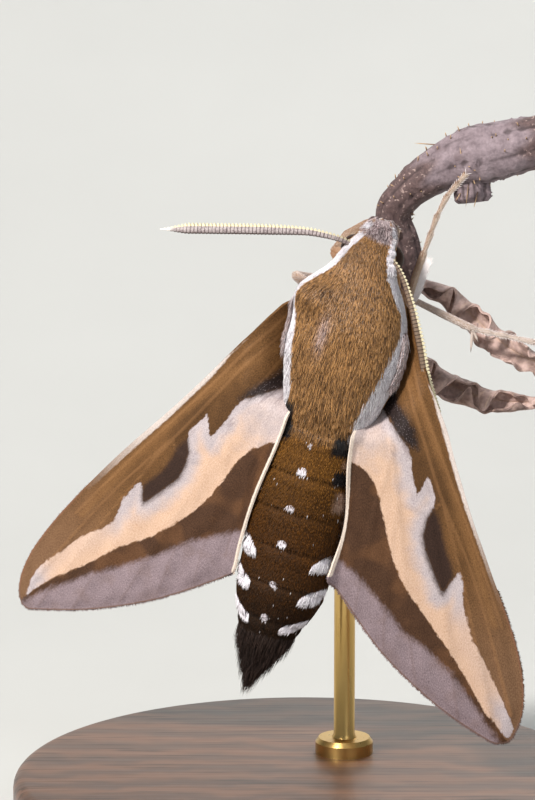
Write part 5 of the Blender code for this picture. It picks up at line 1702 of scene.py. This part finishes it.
LEAF_ROWS, LEAF_COLUMNS, LEAF_THICKNESS = 150, 28, 0.16


def leaf(name, route, widths, curl, lobes):
    """A curled ribbon along its midrib with lobed, crinkled edges."""
    path = even_route(route, LEAF_ROWS + 1)
    half = np.interp(np.linspace(0, 1, LEAF_ROWS + 1), np.linspace(0, 1, len(widths)), widths)
    _, side, up = route_frames(path, (0, 0, 1))
    deselect()
    bpy.ops.mesh.primitive_grid_add(x_subdivisions=LEAF_ROWS, y_subdivisions=LEAF_COLUMNS, size=1.0)
    piece = new_piece(name)
    raw = points_of(piece)
    ring = np.rint((raw[:, 0] + 0.5) * LEAF_ROWS).astype(int).clip(0, LEAF_ROWS)
    across = raw[:, 1] * 2
    t = ring / LEAF_ROWS
    wave = np.sin(t * lobes * 6 + 1.3 * np.sign(across)) + 0.6 * np.sin(t * lobes * 11 + 2.1 * np.sign(across))
    lobe = 1 + 0.16 * wave + 0.05 * np.sin(t * 90) * across ** 2
    reach = across * half[ring] * lobe
    bend = (curl(t) + 0.8 + 0.5 * wave) * np.abs(across) ** 1.5
    crinkle = (0.3 * np.sin(t * 24 + across * 3) * across ** 2
               + 0.12 * np.sin(t * 70 - across * 7) * np.abs(across))
    rise = np.abs(reach) * np.sin(bend) + crinkle - 0.12 * np.exp(-(across / 0.1) ** 2)
    set_points(piece, path[ring] + side[ring] * (reach * np.cos(bend))[:, None] + up[ring] * rise[:, None])
    side_veins = 0.7 * np.exp(-((t * 22 + np.abs(across) * 1.6) % 1.0 / 0.1) ** 2)
    set_values(piece, vein=np.clip(np.exp(-(across / 0.07) ** 2) + side_veins, 0, 1))
    modify(piece, "SOLIDIFY", thickness=LEAF_THICKNESS, offset=0.0)
    settle(outward(piece), dead_leaf)


dead_leaf = leaf_finish()
leaf("upper_dead_leaf", UPPER_LEAF, widths=[0.5, 1.2, 1.5, 1.6, 1.4, 1.1, 0.9, 0.3],
     curl=lambda t: 0.9 - 1.6 * t, lobes=5.0)
leaf("lower_dead_leaf", LOWER_LEAF, widths=[0.5, 1.3, 1.8, 1.6, 1.1, 0.3],
     curl=lambda t: 0.7 - 0.5 * t, lobes=4.0)

# %% [markdown]
# ## The stand
# A turned base of dark stained wood and a short brass rod with a collar and a cup hold the stem, as a
# museum would show it. The base is a cylinder with a bevelled edge. The rod is a profile spun round its
# axis.

# %% Wooden base
BASE_RADIUS, BASE_HEIGHT, BASE_BEVEL = 22.0, 4.0, 0.92
ROD_RADIUS, COLLAR_RADIUS, CUP_RADIUS = 0.8, 2.2, 2.5


def wood_finish():
    finish = Finish("stained_walnut", roughness=0.4, coat_weight=0.25, coat_roughness=0.25)
    grain = finish.noise(6.0, finish.stretched((0.12, 1.0, 1.0)), detail=5.0)
    pores = finish.noise(0.5, finish.stretched((0.06, 1.0, 1.0)))
    rings = finish.node("ShaderNodeTexWave", {"wave_type": "BANDS", "bands_direction": "Y"},
                        {"Vector": finish.place(), "Scale": 90.0, "Distortion": 6.0, "Detail": 3.0,
                         "Detail Scale": 1.5}, output=1)
    tone = finish.layers(finish.mix((grain * 0.6 + rings * 0.5).clamped(), (46, 27, 17), (112, 72, 46)),
                         (finish.between(pores, 0.58, 0.66) * 0.6, (30, 18, 12)))
    return finish.feed(base_color=tone, roughness=pores * 0.25 + 0.3, normal=finish.bump(pores, 0.04, 0.5))


deselect()
bpy.ops.mesh.primitive_cylinder_add(vertices=128, radius=BASE_RADIUS, depth=BASE_HEIGHT,
                                    location=(0, 0, BASE_HEIGHT / 2))
base = new_piece("turned_base")
bpy.ops.object.transform_apply(location=True)
modify(base, "BEVEL", width=BASE_BEVEL, segments=6, limit_method="ANGLE")
settle(base, wood_finish(), ("stand_base",), place=Matrix.Scale(MM, 4), angle=40)

# %% Brass rod
def brass_finish():
    finish = Finish("brushed_brass", roughness=0.3, metallic=1.0)
    brushed = finish.noise(0.35, finish.stretched((1.0, 1.0, 0.08)), detail=3.0)
    tone = finish.mix(finish.noise(5.0), (196, 156, 88), (226, 192, 124))
    return finish.feed(base_color=tone, roughness=brushed * 0.22 + 0.2, normal=finish.bump(brushed, 0.01, 0.4))


stem_end = HANG @ Vector(STEM[0]) / MM
foot, collar, top = BASE_HEIGHT, BASE_HEIGHT + 1.2, stem_end.z - 0.3
profile = [(0, foot), (COLLAR_RADIUS, foot), (COLLAR_RADIUS, foot + 0.85), (COLLAR_RADIUS - 0.25, collar),
           (ROD_RADIUS + 0.15, collar), (ROD_RADIUS, foot + 1.5), (ROD_RADIUS, top - 2.2),
           (CUP_RADIUS - 0.5, top - 1.0), (CUP_RADIUS - 0.3, top - 0.1), (CUP_RADIUS - 0.45, top), (0, top)]
mesh = bpy.data.meshes.new("rod_profile")
mesh.from_pydata([(radius, 0, height) for radius, height in profile],
                 [(index, index + 1) for index in range(len(profile) - 1)], [])
rod = add_object("brass_rod", mesh)
take(rod)
bpy.ops.object.mode_set(mode="EDIT")
bpy.ops.mesh.select_all(action="SELECT")
bpy.ops.mesh.spin(steps=48, angle=2 * math.pi, center=(0, 0, 0), axis=(0, 0, 1))
outward(rod, threshold=1e-4)
settle(rod, brass_finish(), ("stand_rod",), angle=35,
       place=Matrix.Scale(MM, 4) @ Matrix.Translation((stem_end.x, stem_end.y, 0)))
